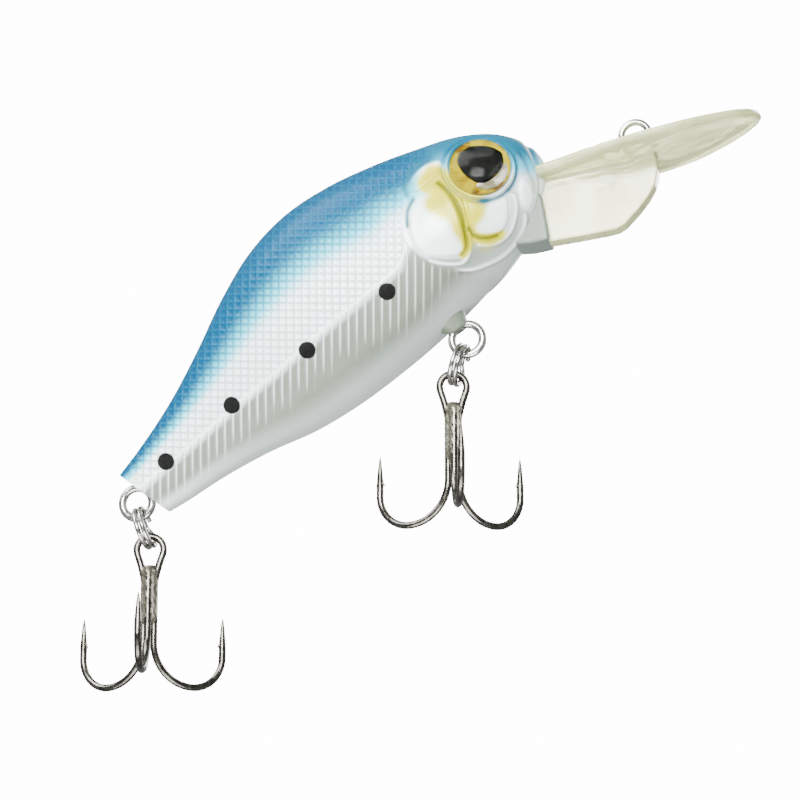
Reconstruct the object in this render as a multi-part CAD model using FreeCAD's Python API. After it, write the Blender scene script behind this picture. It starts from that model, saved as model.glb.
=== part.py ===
"""Deep-diving crankbait lure, about 100 mm from tail to lip tip, hanging by its line-tie eye.

Row frame (millimetres): the origin is the centre of the line-tie eye, +X runs forward, +Z is up and the
lure's mirror plane is Y = 0. The body is pitched nose-up, and both treble hooks hang straight down.

Body pieces are drawn in a level body frame whose X runs from the tail to the nose, and are then carried
into the row frame by to_row(). The hook chains are drawn in the row frame.
"""
import FreeCAD
import Part
import math
import os

V = FreeCAD.Vector

# ---- driving dimensions -------------------------------------------------------------------------
PITCH_DEG = 35.0                    # nose-up attitude of the body
TIE_EYE = V(83.0, 0, -0.7)          # centre of the line-tie eye, in the body frame

# Body outline: x from the tail, top, underside and half width. A smooth curve runs through them.
STATIONS = [
    (-3.5, 4.0, -3.2, 1.8),
    (3.0, 5.9, -4.1, 2.7),
    (10.0, 8.5, -4.5, 4.0),
    (17.0, 11.9, -5.4, 5.6),
    (24.0, 15.7, -6.9, 7.4),
    (31.0, 18.6, -7.5, 8.9),
    (38.0, 19.8, -7.4, 9.8),
    (45.0, 19.3, -6.9, 10.1),
    (52.0, 17.7, -5.8, 9.9),
    (58.0, 15.8, -4.5, 9.4),
    (63.0, 14.0, -3.0, 8.5),
    (67.0, 11.6, -0.9, 6.9),
    (69.5, 9.1, 1.2, 4.6),
    (70.7, 6.9, 3.2, 2.0),
    (71.0, 5.7, 4.5, 0.6),
]
SECTION_POWER = 2.5                 # superellipse power of a cross-section
SECTION_POINTS = 28
STEPS_PER_STATION = 2
WALL = 1.4
CAVITY_FROM, CAVITY_TO = 2.35, 10.9  # stations between which the body is hollow
TAIL_TOP, TAIL_FOOT = (-1.8, 4.8), (1.0, -3.8)   # the oblique cut across the tail

EYE_CENTRE = (63.2, 7.65, 6.2)      # middle of the eye recess's floor, left side
EYE_YAW_DEG, EYE_RISE_DEG = 14.0, 4.0
EYE_RADIUS = 4.1
EYE_CLEARANCE = 0.05
FOIL_THICKNESS = 0.15
LENS_EDGE, LENS_CROWN = 0.45, 1.5

LIP_MIDLINE = [(61.5, 5.5), (70.3, 2.0), (76.5, -1.0), (83.0, -3.9), (90.5, -6.6), (98.2, -8.9)]
LIP_THICKNESS = [1.9, 1.9, 1.9, 1.8, 1.6, 1.0]
LIP_PLAN = [(61.5, 3.6), (70.0, 4.4), (75.5, 6.6), (80.0, 8.5), (84.0, 8.8), (89.0, 7.9), (93.5, 5.9), (96.6, 3.2)]
LIP_TIP_X = 98.0
WEB_HALF = 1.6
WEB_ROOT = [(61.5, 4.6), (61.5, -3.4), (64.8, -5.8), (72.0, -9.4)]
COLLAR_HALF = 2.9                   # moulded chin collar round the web
COLLAR = [(59.5, 1.0), (60.6, -3.7), (64.5, -5.6), (67.7, -0.2), (66.0, 4.0)]
WEB_NOSE = [(74.0, -9.9), (77.0, -9.3), (80.2, -8.2), (82.2, -6.5), (83.3, -4.4)]
LOCK_PIN = (64.2, 0.2)              # moulded pin through the lip's root
PIN_RADIUS = 1.1
PIN_REACH = 2.0
PIN_CLEARANCE = 0.04
PIN_SITES = [(17.0, 3.4), (38.5, 14.6), (54.5, 12.2)]
BOSS_RADIUS = 2.2

TIE_WIRE = 0.475                    # radii of the eyelet wires
HANGER_WIRE = 0.56
TIE_LOOP = 1.9                      # centreline radii of the loops
HANGER_LOOP = 2.12
BELLY_EYE = V(48.0, 0, -9.7)
BELLY_ANCHOR = V(48.0, 0, -1.6)
TAIL_EYE = V(-1.9, 0, -0.2)
TAIL_ANCHOR = V(6.6, 0, 0.9)
ANCHOR_LOOP = 1.55

FRONT_BALL = V(55.6, 0, 0.4)
FRONT_BALL_RADIUS = 3.75
REAR_BALL = V(40.2, 0, -2.3)
REAR_BALL_RADIUS = 3.5
POCKET_CLEARANCE = 0.04
POCKET_WALL = 0.9
RATTLE_RADIUS = 1.6
RATTLE_BORE = 1.8
RATTLE_LANES = {"rattle_ball_lower": -0.6, "rattle_ball_middle": 3.9, "rattle_ball_upper": 8.4}
RATTLE_FROM, RATTLE_TO = 21.6, 33.0

RING_WIRE = 0.35                    # radius of the split ring's wire
RING_RADIUS = 2.7                   # centreline radius of its coils
RING_PITCH = 0.76                   # from one coil to the next
RING_DROP = 1.0                     # ring wire from the middle of the eyelet it hangs in
RING_LEAN_DEG = 18.0

HOOK_WIRE = 0.49
WIRE_SPACING = 1.42                 # between the three shank wires
SHANK_BEND_RADIUS = 5.95
POINT_BEND_RADIUS = 4.3
HOOK_LIMB = 1.3                     # straight wire above the bend, below the barb
POINT_LENGTH = 4.2
SHANK_LENGTH = 16.2                 # from the bottom of the bend to the base of the eye
SINGLE_RAISE = 1.2                  # the brazed-on hook's bend above the bends of the other two
EYE_LOOP = 1.84
EYE_HEIGHT = 2.4                    # from the base of the eye to the middle of its round top
EYE_SLACK = 1.35                    # eye's top wire above the ring's lower wires
BRAZE_FOOT = 8.6
BRAZE_HALF, BRAZE_RADIUS = 0.72, 1.16
TREBLE_TWIST = {"front": 16.0, "rear": 10.0}

PITCH = math.radians(PITCH_DEG)
SHANK_OFFSET = WIRE_SPACING / math.sqrt(3)


# ---- helpers ------------------------------------------------------------------------------------
def to_row(shape):
    """Carries a shape from the body frame into the row frame."""
    placed = shape.copy()
    placed.translate(-TIE_EYE)
    placed.rotate(V(0, 0, 0), V(0, 1, 0), -PITCH_DEG)
    return placed


def row_point(p):
    """The row-frame place of a point of the body frame."""
    d = p - TIE_EYE
    return V(d.x * math.cos(PITCH) - d.z * math.sin(PITCH), d.y, d.x * math.sin(PITCH) + d.z * math.cos(PITCH))


def save(name, shape):
    if not shape.isValid():
        print("INVALID", name)
    shape.exportStep(f"parts/{name}.step")
    print(f"{name}: {len(shape.Solids)} solid(s), {shape.Volume:.2f} mm3")
    return shape


def fused(shapes):
    whole = shapes[0]
    for other in shapes[1:]:
        whole = whole.fuse(other)
    return whole


def station(u):
    """The outline at station number u, a fraction included: (x, top, underside, half width)."""
    i = min(int(u), len(STATIONS) - 2)
    t = u - i
    around = [STATIONS[min(max(k, 0), len(STATIONS) - 1)] for k in (i - 1, i, i + 1, i + 2)]
    found = []
    for a, b, c, d in zip(*around):
        slope_b, slope_c = (c - a) / 2, (d - b) / 2
        found.append(
            b + t * slope_b
            + t * t * (3 * (c - b) - 2 * slope_b - slope_c)
            + t * t * t * (2 * (b - c) + slope_b + slope_c)
        )
    return found


def section_wire(u, inset=0.0):
    """A closed cross-section of the body at station u, drawn in by inset."""
    x, top, foot, half = station(u)
    top, foot, half = top - inset, foot + inset, half - inset
    middle, rise = (top + foot) / 2, (top - foot) / 2
    power = 2 / SECTION_POWER
    points = []
    for k in range(SECTION_POINTS):
        a = 2 * math.pi * k / SECTION_POINTS
        y = half * math.copysign(abs(math.cos(a)) ** power, math.cos(a))
        z = rise * math.copysign(abs(math.sin(a)) ** power, math.sin(a))
        points.append(V(x, y, middle + z))
    curve = Part.BSplineCurve()
    curve.interpolate(Points=points, PeriodicFlag=True)
    return Part.Wire([curve.toShape()])


def spline_edge(points):
    curve = Part.BSplineCurve()
    curve.interpolate(Points=points)
    return curve.toShape()


def rod_y(x, z, radius, y0, y1):
    """A cylinder along Y at (x, z), from y0 to y1."""
    return Part.makeCylinder(radius, y1 - y0, V(x, y0, z), V(0, 1, 0))


def swept(path, radius):
    """A round wire along a path of tangent edges."""
    wire = Part.Wire(path)
    start = wire.OrderedEdges[0]
    first = start.FirstParameter
    profile = Part.Wire([Part.makeCircle(radius, start.valueAt(first), start.tangentAt(first))])
    return wire.makePipeShell([profile], True, False)


# ---- body ---------------------------------------------------------------------------------------
def body_solid():
    count = (len(STATIONS) - 1) * STEPS_PER_STATION
    wires = [section_wire(k / STEPS_PER_STATION) for k in range(count + 1)]
    whole = Part.makeLoft(wires, True, False, False)
    # belly boss round the front hanger's neck
    boss = Part.makeCone(2.6, 1.25, 3.4, V(BELLY_EYE.x, 0, BELLY_EYE.z + 5.0), V(0, 0, -1))
    collar = Part.Face(Part.makePolygon([V(x, -COLLAR_HALF, z) for x, z in COLLAR + COLLAR[:1]]))
    whole = whole.fuse(boss).fuse(collar.extrude(V(0, 2 * COLLAR_HALF, 0)))
    run, drop = TAIL_FOOT[0] - TAIL_TOP[0], TAIL_TOP[1] - TAIL_FOOT[1]
    slant = V(run, 0, -drop).normalize()
    corner = V(TAIL_TOP[0], -20, TAIL_TOP[1]) - slant * 20
    behind = Part.Face(Part.makePolygon([
        corner, corner + slant * 60, corner + slant * 60 + V(-20, 0, 0), corner + V(-20, 0, 0), corner,
    ])).extrude(V(0, 40, 0))
    return whole.cut(behind)


def cavity_solid():
    steps = int((CAVITY_TO - CAVITY_FROM) * STEPS_PER_STATION)
    span = CAVITY_TO - CAVITY_FROM
    wires = [section_wire(CAVITY_FROM + span * k / steps, WALL) for k in range(steps + 1)]
    return Part.makeLoft(wires, True, False, False)


def pocket_block(centre, radius):
    side = 2 * (radius + POCKET_WALL)
    return Part.makeBox(side, side, side, centre - V(side, side, side) / 2)


def inner_features():
    """Moulded ribs, bosses and pockets, as solids that the cavity leaves standing."""
    rattle_high = max(RATTLE_LANES.values()) + RATTLE_BORE + POCKET_WALL
    rattle_low = min(RATTLE_LANES.values()) - RATTLE_BORE - POCKET_WALL
    rattle_block = Part.makeBox(
        RATTLE_TO - RATTLE_FROM + 2 * POCKET_WALL, 2 * (RATTLE_BORE + POCKET_WALL), rattle_high - rattle_low,
        V(RATTLE_FROM - POCKET_WALL, -RATTLE_BORE - POCKET_WALL, rattle_low),
    )
    ribs = [
        Part.makeBox(POCKET_WALL, 24, 32, V(x, -12, -10)) for x in (RATTLE_FROM - POCKET_WALL, RATTLE_TO)
    ]
    features = ribs + [
        rattle_block,
        pocket_block(FRONT_BALL, FRONT_BALL_RADIUS),
        pocket_block(REAR_BALL, REAR_BALL_RADIUS),
        rod_y(BELLY_ANCHOR.x, BELLY_ANCHOR.z, 3.2, -12, 12),
        Part.makeBox(5.0, 24, 8, V(BELLY_ANCHOR.x - 2.5, -12, BELLY_ANCHOR.z - 8)),
        Part.makeBox(12, 12, 20, V(60.2, -6, -9)),
    ]
    features += [rod_y(x, z, BOSS_RADIUS, -12, 12) for x, z in PIN_SITES]
    features += [eye_cylinder(side, EYE_RADIUS + 0.9, -2.2, 4.0) for side in (1, -1)]
    return fused(features)


def pocket_voids():
    voids = [
        Part.makeSphere(FRONT_BALL_RADIUS + POCKET_CLEARANCE, FRONT_BALL),
        Part.makeSphere(REAR_BALL_RADIUS + POCKET_CLEARANCE, REAR_BALL),
    ]
    for height in RATTLE_LANES.values():
        voids.append(Part.makeCylinder(RATTLE_BORE, RATTLE_TO - RATTLE_FROM, V(RATTLE_FROM, 0, height), V(1, 0, 0)))
    return voids


# ---- eyes ---------------------------------------------------------------------------------------
def eye_axis(side):
    yaw, rise = math.radians(EYE_YAW_DEG), math.radians(EYE_RISE_DEG)
    return V(math.sin(yaw) * math.cos(rise), side * math.cos(yaw) * math.cos(rise), math.sin(rise))


def eye_cylinder(side, radius, low, high):
    """A cylinder on the eye's axis, between two heights over the recess's floor."""
    x, y, z = EYE_CENTRE
    out = eye_axis(side)
    return Part.makeCylinder(radius, high - low, V(x, side * y, z) + out * low, out)


def eye_lens(side):
    """A plano-convex dome on the foil."""
    x, y, z = EYE_CENTRE
    out = eye_axis(side)
    ball = (EYE_RADIUS ** 2 + LENS_CROWN ** 2) / (2 * LENS_CROWN)
    crown_base = FOIL_THICKNESS + LENS_EDGE
    centre = V(x, side * y, z) + out * (crown_base + LENS_CROWN - ball)
    blank = eye_cylinder(side, EYE_RADIUS - EYE_CLEARANCE, FOIL_THICKNESS, crown_base + LENS_CROWN + 1)
    return blank.common(Part.makeSphere(ball, centre))


# ---- lip ----------------------------------------------------------------------------------------
def lip_solid():
    upper = [V(x, 0, z + t / 2) for (x, z), t in zip(LIP_MIDLINE, LIP_THICKNESS)]
    lower = [V(x, 0, z - t / 2) for (x, z), t in zip(LIP_MIDLINE, LIP_THICKNESS)]
    side = Part.Wire([
        spline_edge(upper), Part.makeLine(upper[-1], lower[-1]),
        spline_edge(lower), Part.makeLine(lower[0], upper[0]),
    ])
    slab = Part.Face(side).extrude(V(0, 24, 0))
    slab.translate(V(0, -12, 0))
    right = [V(x, -w, 0) for x, w in LIP_PLAN]
    left = [V(x, w, 0) for x, w in reversed(LIP_PLAN)]
    edge = spline_edge(right + [V(LIP_TIP_X, 0, 0)] + left)
    outline = Part.Face(Part.Wire([edge, Part.makeLine(left[-1], right[0])]))
    prism = outline.extrude(V(0, 0, 40))
    prism.translate(V(0, 0, -20))
    plate = slab.common(prism)

    root = [V(x, -WEB_HALF, z) for x, z in WEB_ROOT]
    nose = [V(x, -WEB_HALF, z) for x, z in WEB_NOSE]
    edges = [Part.makeLine(a, b) for a, b in zip(root, root[1:])]
    edges.append(spline_edge([root[-1]] + nose))
    edges.append(Part.makeLine(nose[-1], root[0]))
    web = Part.Face(Part.Wire(edges)).extrude(V(0, 2 * WEB_HALF, 0))
    lock = rod_y(*LOCK_PIN, PIN_RADIUS + PIN_CLEARANCE, -WEB_HALF - 1, WEB_HALF + 1)
    return plate.fuse(web).removeSplitter().cut(lock)


# ---- eyelet wires -------------------------------------------------------------------------------
def loop_at(centre, radius, wire):
    """A closed ring of eyelet wire in the mirror plane."""
    return Part.makeTorus(radius, wire, centre, V(0, 1, 0))


def neck(centre, radius, to, to_radius):
    """A straight wire that joins two loops, from wire centre to wire centre."""
    way = (to - centre).normalize()
    start, end = centre + way * radius, to - way * to_radius
    return Part.makeCylinder(HANGER_WIRE, (end - start).Length, start, way)


def hanger(eye, anchor):
    """Two loops with a straight neck: the outer one shows, the inner one is held in the body."""
    return fused([
        loop_at(eye, HANGER_LOOP, HANGER_WIRE),
        neck(eye, HANGER_LOOP, anchor, ANCHOR_LOOP),
        loop_at(anchor, ANCHOR_LOOP, HANGER_WIRE),
    ])


def line_tie():
    """The eye with a stem that runs back and down inside the lip."""
    foot = TIE_EYE + V(0, 0, -TIE_LOOP)
    way = V(-0.80, 0, -0.20).normalize()
    stem = Part.makeCylinder(TIE_WIRE, 7.0, foot, way)
    end = Part.makeSphere(TIE_WIRE * 1.35, foot + way * 7.0)
    return fused([loop_at(TIE_EYE, TIE_LOOP, TIE_WIRE), stem, end])


# ---- split ring and treble hook, in the row frame -------------------------------------------------
def split_ring():
    """Two coils side by side, joined by a short jog. The ring's axis is X, and its top wire is at the origin."""
    half = RING_PITCH / 2
    jog = math.radians(24)
    lead = math.radians(8)

    def at(angle, x):
        return V(x, RING_RADIUS * math.sin(angle), RING_RADIUS * (math.cos(angle) - 1))

    def arc(a0, a1, x):
        return Part.Arc(at(a0, x), at((a0 + a1) / 2, x), at(a1, x)).toShape()

    def bridge(a0, a1):
        points = []
        count = 8
        for k in range(count + 1):
            t = k / count
            points.append(at(a0 + (a1 - a0) * t, -half + RING_PITCH * t * t * (3 - 2 * t)))
        curve = Part.BSplineCurve()
        tangent0 = V(0, math.cos(a0), -math.sin(a0))
        tangent1 = V(0, math.cos(a1), -math.sin(a1))
        curve.interpolate(Points=points, InitialTangent=tangent0, FinalTangent=tangent1)
        return curve.toShape()

    middle = math.radians(95)
    first = arc(middle + lead + jog - 2 * math.pi, middle - jog, -half)
    second = arc(middle + jog, middle - jog - lead + 2 * math.pi, half)
    return swept([first, bridge(middle - jog, middle + jog), second], RING_WIRE)


def hook_limb(azimuth):
    """Edges of one hook from the shank's foot to the start of its point, and the point's place and way.

    The shank's foot is at the height of the first bend, and z = 0 is the middle of the wire at its lowest.
    """
    c, s = math.cos(azimuth), math.sin(azimuth)

    def at(r, z):
        return V(r * c, r * s, z)

    r0 = SHANK_OFFSET
    r1 = r0 + SHANK_BEND_RADIUS
    r2 = r1 + POINT_BEND_RADIUS
    k = math.sqrt(0.5)
    first = Part.Arc(
        at(r0, SHANK_BEND_RADIUS),
        at(r1 - SHANK_BEND_RADIUS * k, SHANK_BEND_RADIUS * (1 - k)),
        at(r1, 0),
    ).toShape()
    second = Part.Arc(
        at(r1, 0),
        at(r1 + POINT_BEND_RADIUS * k, POINT_BEND_RADIUS * (1 - k)),
        at(r2, POINT_BEND_RADIUS),
    ).toShape()
    limb = Part.makeLine(at(r2, POINT_BEND_RADIUS), at(r2, POINT_BEND_RADIUS + HOOK_LIMB))
    return [first, second, limb], at(r2, POINT_BEND_RADIUS + HOOK_LIMB), V(-c, -s, 0)


def hook_point(base, inward):
    """A needle point with a barb on its inner side."""
    needle = Part.makeCone(HOOK_WIRE, 0.04, POINT_LENGTH, base, V(0, 0, 1))
    across = inward.cross(V(0, 0, 1))
    corners = [
        base + inward * (HOOK_WIRE * 0.5) + V(0, 0, 1.5),
        base + inward * (HOOK_WIRE + 0.32) + V(0, 0, 0.1),
        base + inward * (HOOK_WIRE * 0.5) + V(0, 0, -0.25),
    ]
    half = 0.14
    face = Part.Face(Part.makePolygon([p - across * half for p in corners + corners[:1]]))
    return needle.fuse(face.extrude(across * 2 * half))


def double_hook():
    """One wire: point, bend, shank, eye, shank, bend, point."""
    azimuths = [math.radians(30), math.radians(150)]
    base_z = SHANK_LENGTH
    plane_y = SHANK_OFFSET * math.sin(azimuths[0])
    near_x = SHANK_OFFSET * math.cos(azimuths[0])
    top = V(0, plane_y, base_z + EYE_HEIGHT)
    spread = math.radians(18)

    def on_loop(side, angle):
        return top + V(side * EYE_LOOP * math.cos(angle), 0, EYE_LOOP * math.sin(angle))

    def flank(side):
        """Smooth wire from the shank to the round top of the eye."""
        start, end = V(side * near_x, plane_y, base_z - 2.2), on_loop(side, -spread)
        curve = Part.BSplineCurve()
        curve.interpolate(
            Points=[start, V(side * (near_x + 0.46), plane_y, base_z), end],
            InitialTangent=V(0, 0, 1), FinalTangent=V(side * math.sin(spread), 0, math.cos(spread)),
        )
        return curve.toShape()

    def side_edges(side, azimuth):
        bend, tip, inward = hook_limb(azimuth)
        foot = bend[0].Vertexes[0].Point if bend[0].Vertexes[0].Point.z > 1 else bend[0].Vertexes[1].Point
        shank = Part.makeLine(foot, V(side * near_x, plane_y, base_z - 2.2))
        return list(reversed(bend)) + [shank, flank(side)], tip, inward

    right, right_tip, right_in = side_edges(1, azimuths[0])
    left, left_tip, left_in = side_edges(-1, azimuths[1])
    over = Part.Arc(on_loop(1, -spread), top + V(0, 0, EYE_LOOP), on_loop(-1, -spread)).toShape()
    body = swept(Part.__sortEdges__(right + [over] + left), HOOK_WIRE)
    return fused([body, hook_point(right_tip, right_in), hook_point(left_tip, left_in)])


def single_hook():
    """The third hook, brazed along the shank a little high, with its upper end ground to a slope."""
    bend, tip, inward = hook_limb(math.radians(-90))
    head = V(0, -SHANK_OFFSET, SHANK_LENGTH - SINGLE_RAISE - 1.0)
    shank = Part.makeLine(head, V(0, -SHANK_OFFSET, SHANK_BEND_RADIUS))
    body = swept(Part.__sortEdges__([shank] + bend), HOOK_WIRE)
    cap = Part.makeCone(HOOK_WIRE, 0.12, 0.8, head, V(0, 0, 1))
    hook = fused([body, cap, hook_point(tip, inward)])
    hook.translate(V(0, 0, SINGLE_RAISE))
    return hook


def braze():
    """Solder between the three shank wires."""
    low, high = BRAZE_FOOT, SHANK_LENGTH - 2.2
    corners = [
        V(2 * BRAZE_HALF * math.cos(a), 2 * BRAZE_HALF * math.sin(a), low)
        for a in (math.radians(k) for k in (30, 150, 270, 30))
    ]
    prism = Part.Face(Part.makePolygon(corners)).extrude(V(0, 0, high - low))
    core = prism.common(Part.makeCylinder(BRAZE_RADIUS, high - low, V(0, 0, low)))
    for a in (30, 150, 270):
        at = V(SHANK_OFFSET * math.cos(math.radians(a)), SHANK_OFFSET * math.sin(math.radians(a)), low - 1)
        core = core.cut(Part.makeCylinder(HOOK_WIRE, high - low + 2, at))
    return core


def chain(end, eyelet, side):
    """A split ring and a treble under an eyelet. side is 1 where the ring leans forward, -1 aft."""
    lean = math.radians(RING_LEAN_DEG) * side
    top = eyelet + V(math.sin(lean), 0, -math.cos(lean)) * RING_DROP
    ring = split_ring()
    ring.rotate(V(0, 0, 0), V(0, 1, 0), -RING_LEAN_DEG * side)
    ring.translate(top)
    save(f"{end}_split_ring", ring)
    low = top + V(math.sin(lean), 0, -math.cos(lean)) * (2 * RING_RADIUS)
    eye_top = low + V(0, 0, EYE_SLACK)
    drop = SHANK_LENGTH + EYE_HEIGHT + EYE_LOOP
    seat_y = -SHANK_OFFSET * math.sin(math.radians(30))
    for name, piece in (("double_hook", double_hook()), ("single_hook", single_hook()), ("braze", braze())):
        piece.translate(V(0, seat_y, -drop))
        piece.rotate(V(0, 0, 0), V(0, 0, 1), TREBLE_TWIST[end])
        piece.translate(eye_top)
        save(f"{end}_treble_{name}", piece)
    wire_middle = eyelet + V(math.sin(lean), 0, -math.cos(lean)) * HANGER_LOOP
    print(f"{end}: ring hinge at {tuple(round(c, 3) for c in wire_middle)}, axis "
          f"({math.cos(lean):.4f}, 0, {math.sin(lean):.4f}); treble hinge at {tuple(round(c, 3) for c in low)}; "
          f"treble axis x = {eye_top.x:.3f}, lowest wire z = {eye_top.z - drop:.3f}")


def main():
    os.makedirs("parts", exist_ok=True)
    lip = lip_solid()
    tie = line_tie()
    belly = hanger(BELLY_EYE, BELLY_ANCHOR)
    tail = hanger(TAIL_EYE, TAIL_ANCHOR)
    save("diving_lip", to_row(lip.cut(tie)))
    save("line_tie_wire", to_row(tie))
    save("belly_hanger_wire", to_row(belly))
    save("tail_hanger_wire", to_row(tail))

    hollow = cavity_solid().cut(inner_features())
    whole = body_solid().cut(hollow)
    for void in pocket_voids() + [lip, belly, tail]:
        whole = whole.cut(void)
    for side in (1, -1):
        whole = whole.cut(eye_cylinder(side, EYE_RADIUS, 0, 6))
    left_space = Part.makeBox(120, 30, 60, V(-20, 0, -25))
    right_space = Part.makeBox(120, 30, 60, V(-20, -30, -25))
    left, right = whole.common(left_space), whole.common(right_space)
    for x, z in PIN_SITES + [LOCK_PIN]:
        reach = WEB_HALF + PIN_REACH if (x, z) == LOCK_PIN else PIN_REACH
        start = WEB_HALF if (x, z) == LOCK_PIN else 0
        left = left.fuse(rod_y(x, z, PIN_RADIUS, -reach, start))
        right = right.cut(rod_y(x, z, PIN_RADIUS + PIN_CLEARANCE, -reach - 0.2, 0))
    save("body_shell_left", to_row(left))
    save("body_shell_right", to_row(right))

    save("front_ballast_ball", to_row(Part.makeSphere(FRONT_BALL_RADIUS, FRONT_BALL)))
    save("rear_ballast_ball", to_row(Part.makeSphere(REAR_BALL_RADIUS, REAR_BALL)))
    for name, height in RATTLE_LANES.items():
        rest_x = RATTLE_FROM + RATTLE_RADIUS + 0.05
        save(name, to_row(Part.makeSphere(RATTLE_RADIUS, V(rest_x, 0, height))))
    for side, word in ((1, "left"), (-1, "right")):
        foil = eye_cylinder(side, EYE_RADIUS - EYE_CLEARANCE, 0, FOIL_THICKNESS)
        save(f"eye_foil_{word}", to_row(foil))
        save(f"eye_lens_{word}", to_row(eye_lens(side)))

    chain("front", row_point(BELLY_EYE), -1)
    chain("rear", row_point(TAIL_EYE), 1)


main()
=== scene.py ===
import math

import bpy
import numpy as np
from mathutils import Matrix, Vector


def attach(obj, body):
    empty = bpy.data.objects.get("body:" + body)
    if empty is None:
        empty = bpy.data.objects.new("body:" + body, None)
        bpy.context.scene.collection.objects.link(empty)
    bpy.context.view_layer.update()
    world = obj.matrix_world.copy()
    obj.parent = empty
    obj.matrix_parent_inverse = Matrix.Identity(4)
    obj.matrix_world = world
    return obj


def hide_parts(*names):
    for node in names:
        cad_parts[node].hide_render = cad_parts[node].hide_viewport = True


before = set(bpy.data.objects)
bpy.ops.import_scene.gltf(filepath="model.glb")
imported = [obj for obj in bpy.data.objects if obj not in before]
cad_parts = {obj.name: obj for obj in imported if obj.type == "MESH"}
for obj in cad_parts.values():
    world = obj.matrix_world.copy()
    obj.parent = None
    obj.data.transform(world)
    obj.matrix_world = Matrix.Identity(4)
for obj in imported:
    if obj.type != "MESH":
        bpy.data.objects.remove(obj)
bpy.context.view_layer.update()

# Lengths are in millimetres until to_row() or MM takes them into the scene.
MM = 0.001

# ---- body frame: X from the tail to the nose, Y left, Z up, before the body is pitched nose-up ----
PITCH = math.radians(35.0)
TIE_EYE = np.array([83.0, 0.0, -0.7])
STATIONS = np.array([               # x from the tail, top, underside, half width
    (-3.5, 4.0, -3.2, 1.8), (3.0, 5.9, -4.1, 2.7), (10.0, 8.5, -4.5, 4.0), (17.0, 11.9, -5.4, 5.6),
    (24.0, 15.7, -6.9, 7.4), (31.0, 18.6, -7.5, 8.9), (38.0, 19.8, -7.4, 9.8), (45.0, 19.3, -6.9, 10.1),
    (52.0, 17.7, -5.8, 9.9), (58.0, 15.8, -4.5, 9.4), (63.0, 14.0, -3.0, 8.5), (67.0, 11.6, -0.9, 6.9),
    (69.5, 9.1, 1.2, 4.6), (70.7, 6.9, 3.2, 2.0), (71.0, 5.7, 4.5, 0.6),
])
SECTION_POWER = 2 / 2.5
TAIL_TOP, TAIL_FOOT = (-1.8, 4.8), (1.0, -3.8)
EYE_CENTRE = np.array([63.2, 7.65, 6.2])
EYE_YAW, EYE_RISE = math.radians(14.0), math.radians(4.0)
EYE_RADIUS = 4.2

BELLY_EYE, BELLY_ANCHOR = np.array([48.0, 0, -9.7]), np.array([48.0, 0, -1.6])
TAIL_EYE, TAIL_ANCHOR = np.array([-1.9, 0, -0.2]), np.array([6.6, 0, 0.9])
HANGER_LOOP, ANCHOR_LOOP, HANGER_WIRE = 2.12, 1.55, 0.56
TIE_LOOP, TIE_WIRE = 1.9, 0.475

RING_WIRE, RING_RADIUS, RING_PITCH = 0.35, 2.7, 0.76
RING_DROP, RING_LEAN = 1.0, math.radians(18.0)

HOOK_WIRE, WIRE_SPACING = 0.49, 1.42
SHANK_BEND_RADIUS, POINT_BEND_RADIUS = 5.95, 4.3
HOOK_LIMB, POINT_LENGTH, SHANK_LENGTH = 1.3, 4.2, 16.2
EYE_LOOP, EYE_HEIGHT, EYE_SLACK = 1.84, 2.4, 1.35
SINGLE_RAISE = 1.2
BRAZE_FOOT = 8.6
TREBLE_TWIST = {"front": math.radians(16.0), "rear": math.radians(10.0)}
SHANK_OFFSET = WIRE_SPACING / math.sqrt(3)


def to_row(points):
    """Body-frame points in millimetres to row-frame points in metres."""
    d = np.atleast_2d(points) - TIE_EYE
    c, s = math.cos(PITCH), math.sin(PITCH)
    return np.stack([d[:, 0] * c - d[:, 2] * s, d[:, 1], d[:, 0] * s + d[:, 2] * c], -1) * MM


def smoothstep(low, high, value):
    t = np.clip((value - low) / (high - low), 0, 1)
    return t * t * (3 - 2 * t)


def smooth_curve(points, per_span=12, closed=False):
    """A Catmull-Rom curve through points, as a dense polyline."""
    pts = np.asarray(points, float)
    n = len(pts)
    spans = n if closed else n - 1
    out = []
    for i in range(spans):
        a, b, c, d = (pts[(i + k) % n if closed else min(max(i + k, 0), n - 1)] for k in (-1, 0, 1, 2))
        m0, m1 = (c - a) / 2, (d - b) / 2
        for t in np.arange(per_span) / per_span:
            out.append(
                (2 * t**3 - 3 * t**2 + 1) * b + (t**3 - 2 * t**2 + t) * m0
                + (3 * t**2 - 2 * t**3) * c + (t**3 - t**2) * m1
            )
    if not closed:
        out.append(pts[-1])
    return np.array(out)


def distance_to(px, py, line, closed=False):
    """Distance from each point to a polyline."""
    ends = np.roll(line, -1, 0) if closed else line[1:]
    starts = line if closed else line[:-1]
    best = np.full(px.shape, 1e9)
    for (ax, ay), (bx, by) in zip(starts, ends):
        ex, ey = bx - ax, by - ay
        t = np.clip(((px - ax) * ex + (py - ay) * ey) / (ex * ex + ey * ey + 1e-12), 0, 1)
        best = np.minimum(best, np.hypot(px - ax - t * ex, py - ay - t * ey))
    return best


def depth_inside(px, py, outline):
    """Signed distance to a closed outline, positive inside."""
    inside = np.zeros(px.shape, bool)
    for (ax, ay), (bx, by) in zip(outline, np.roll(outline, -1, 0)):
        crosses = (ay > py) != (by > py)
        inside ^= crosses & (px < (bx - ax) * (py - ay) / (by - ay + 1e-12) + ax)
    return np.where(inside, 1, -1) * distance_to(px, py, outline, closed=True)


# ---- mesh helpers ----
def mesh_object(name, vertices, faces, smooth=True):
    mesh = bpy.data.meshes.new(name)
    mesh.from_pydata([tuple(v) for v in vertices], [], faces)
    mesh.validate()
    if smooth:
        mesh.shade_smooth()
    obj = bpy.data.objects.new(name, mesh)
    bpy.context.scene.collection.objects.link(obj)
    return obj


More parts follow.
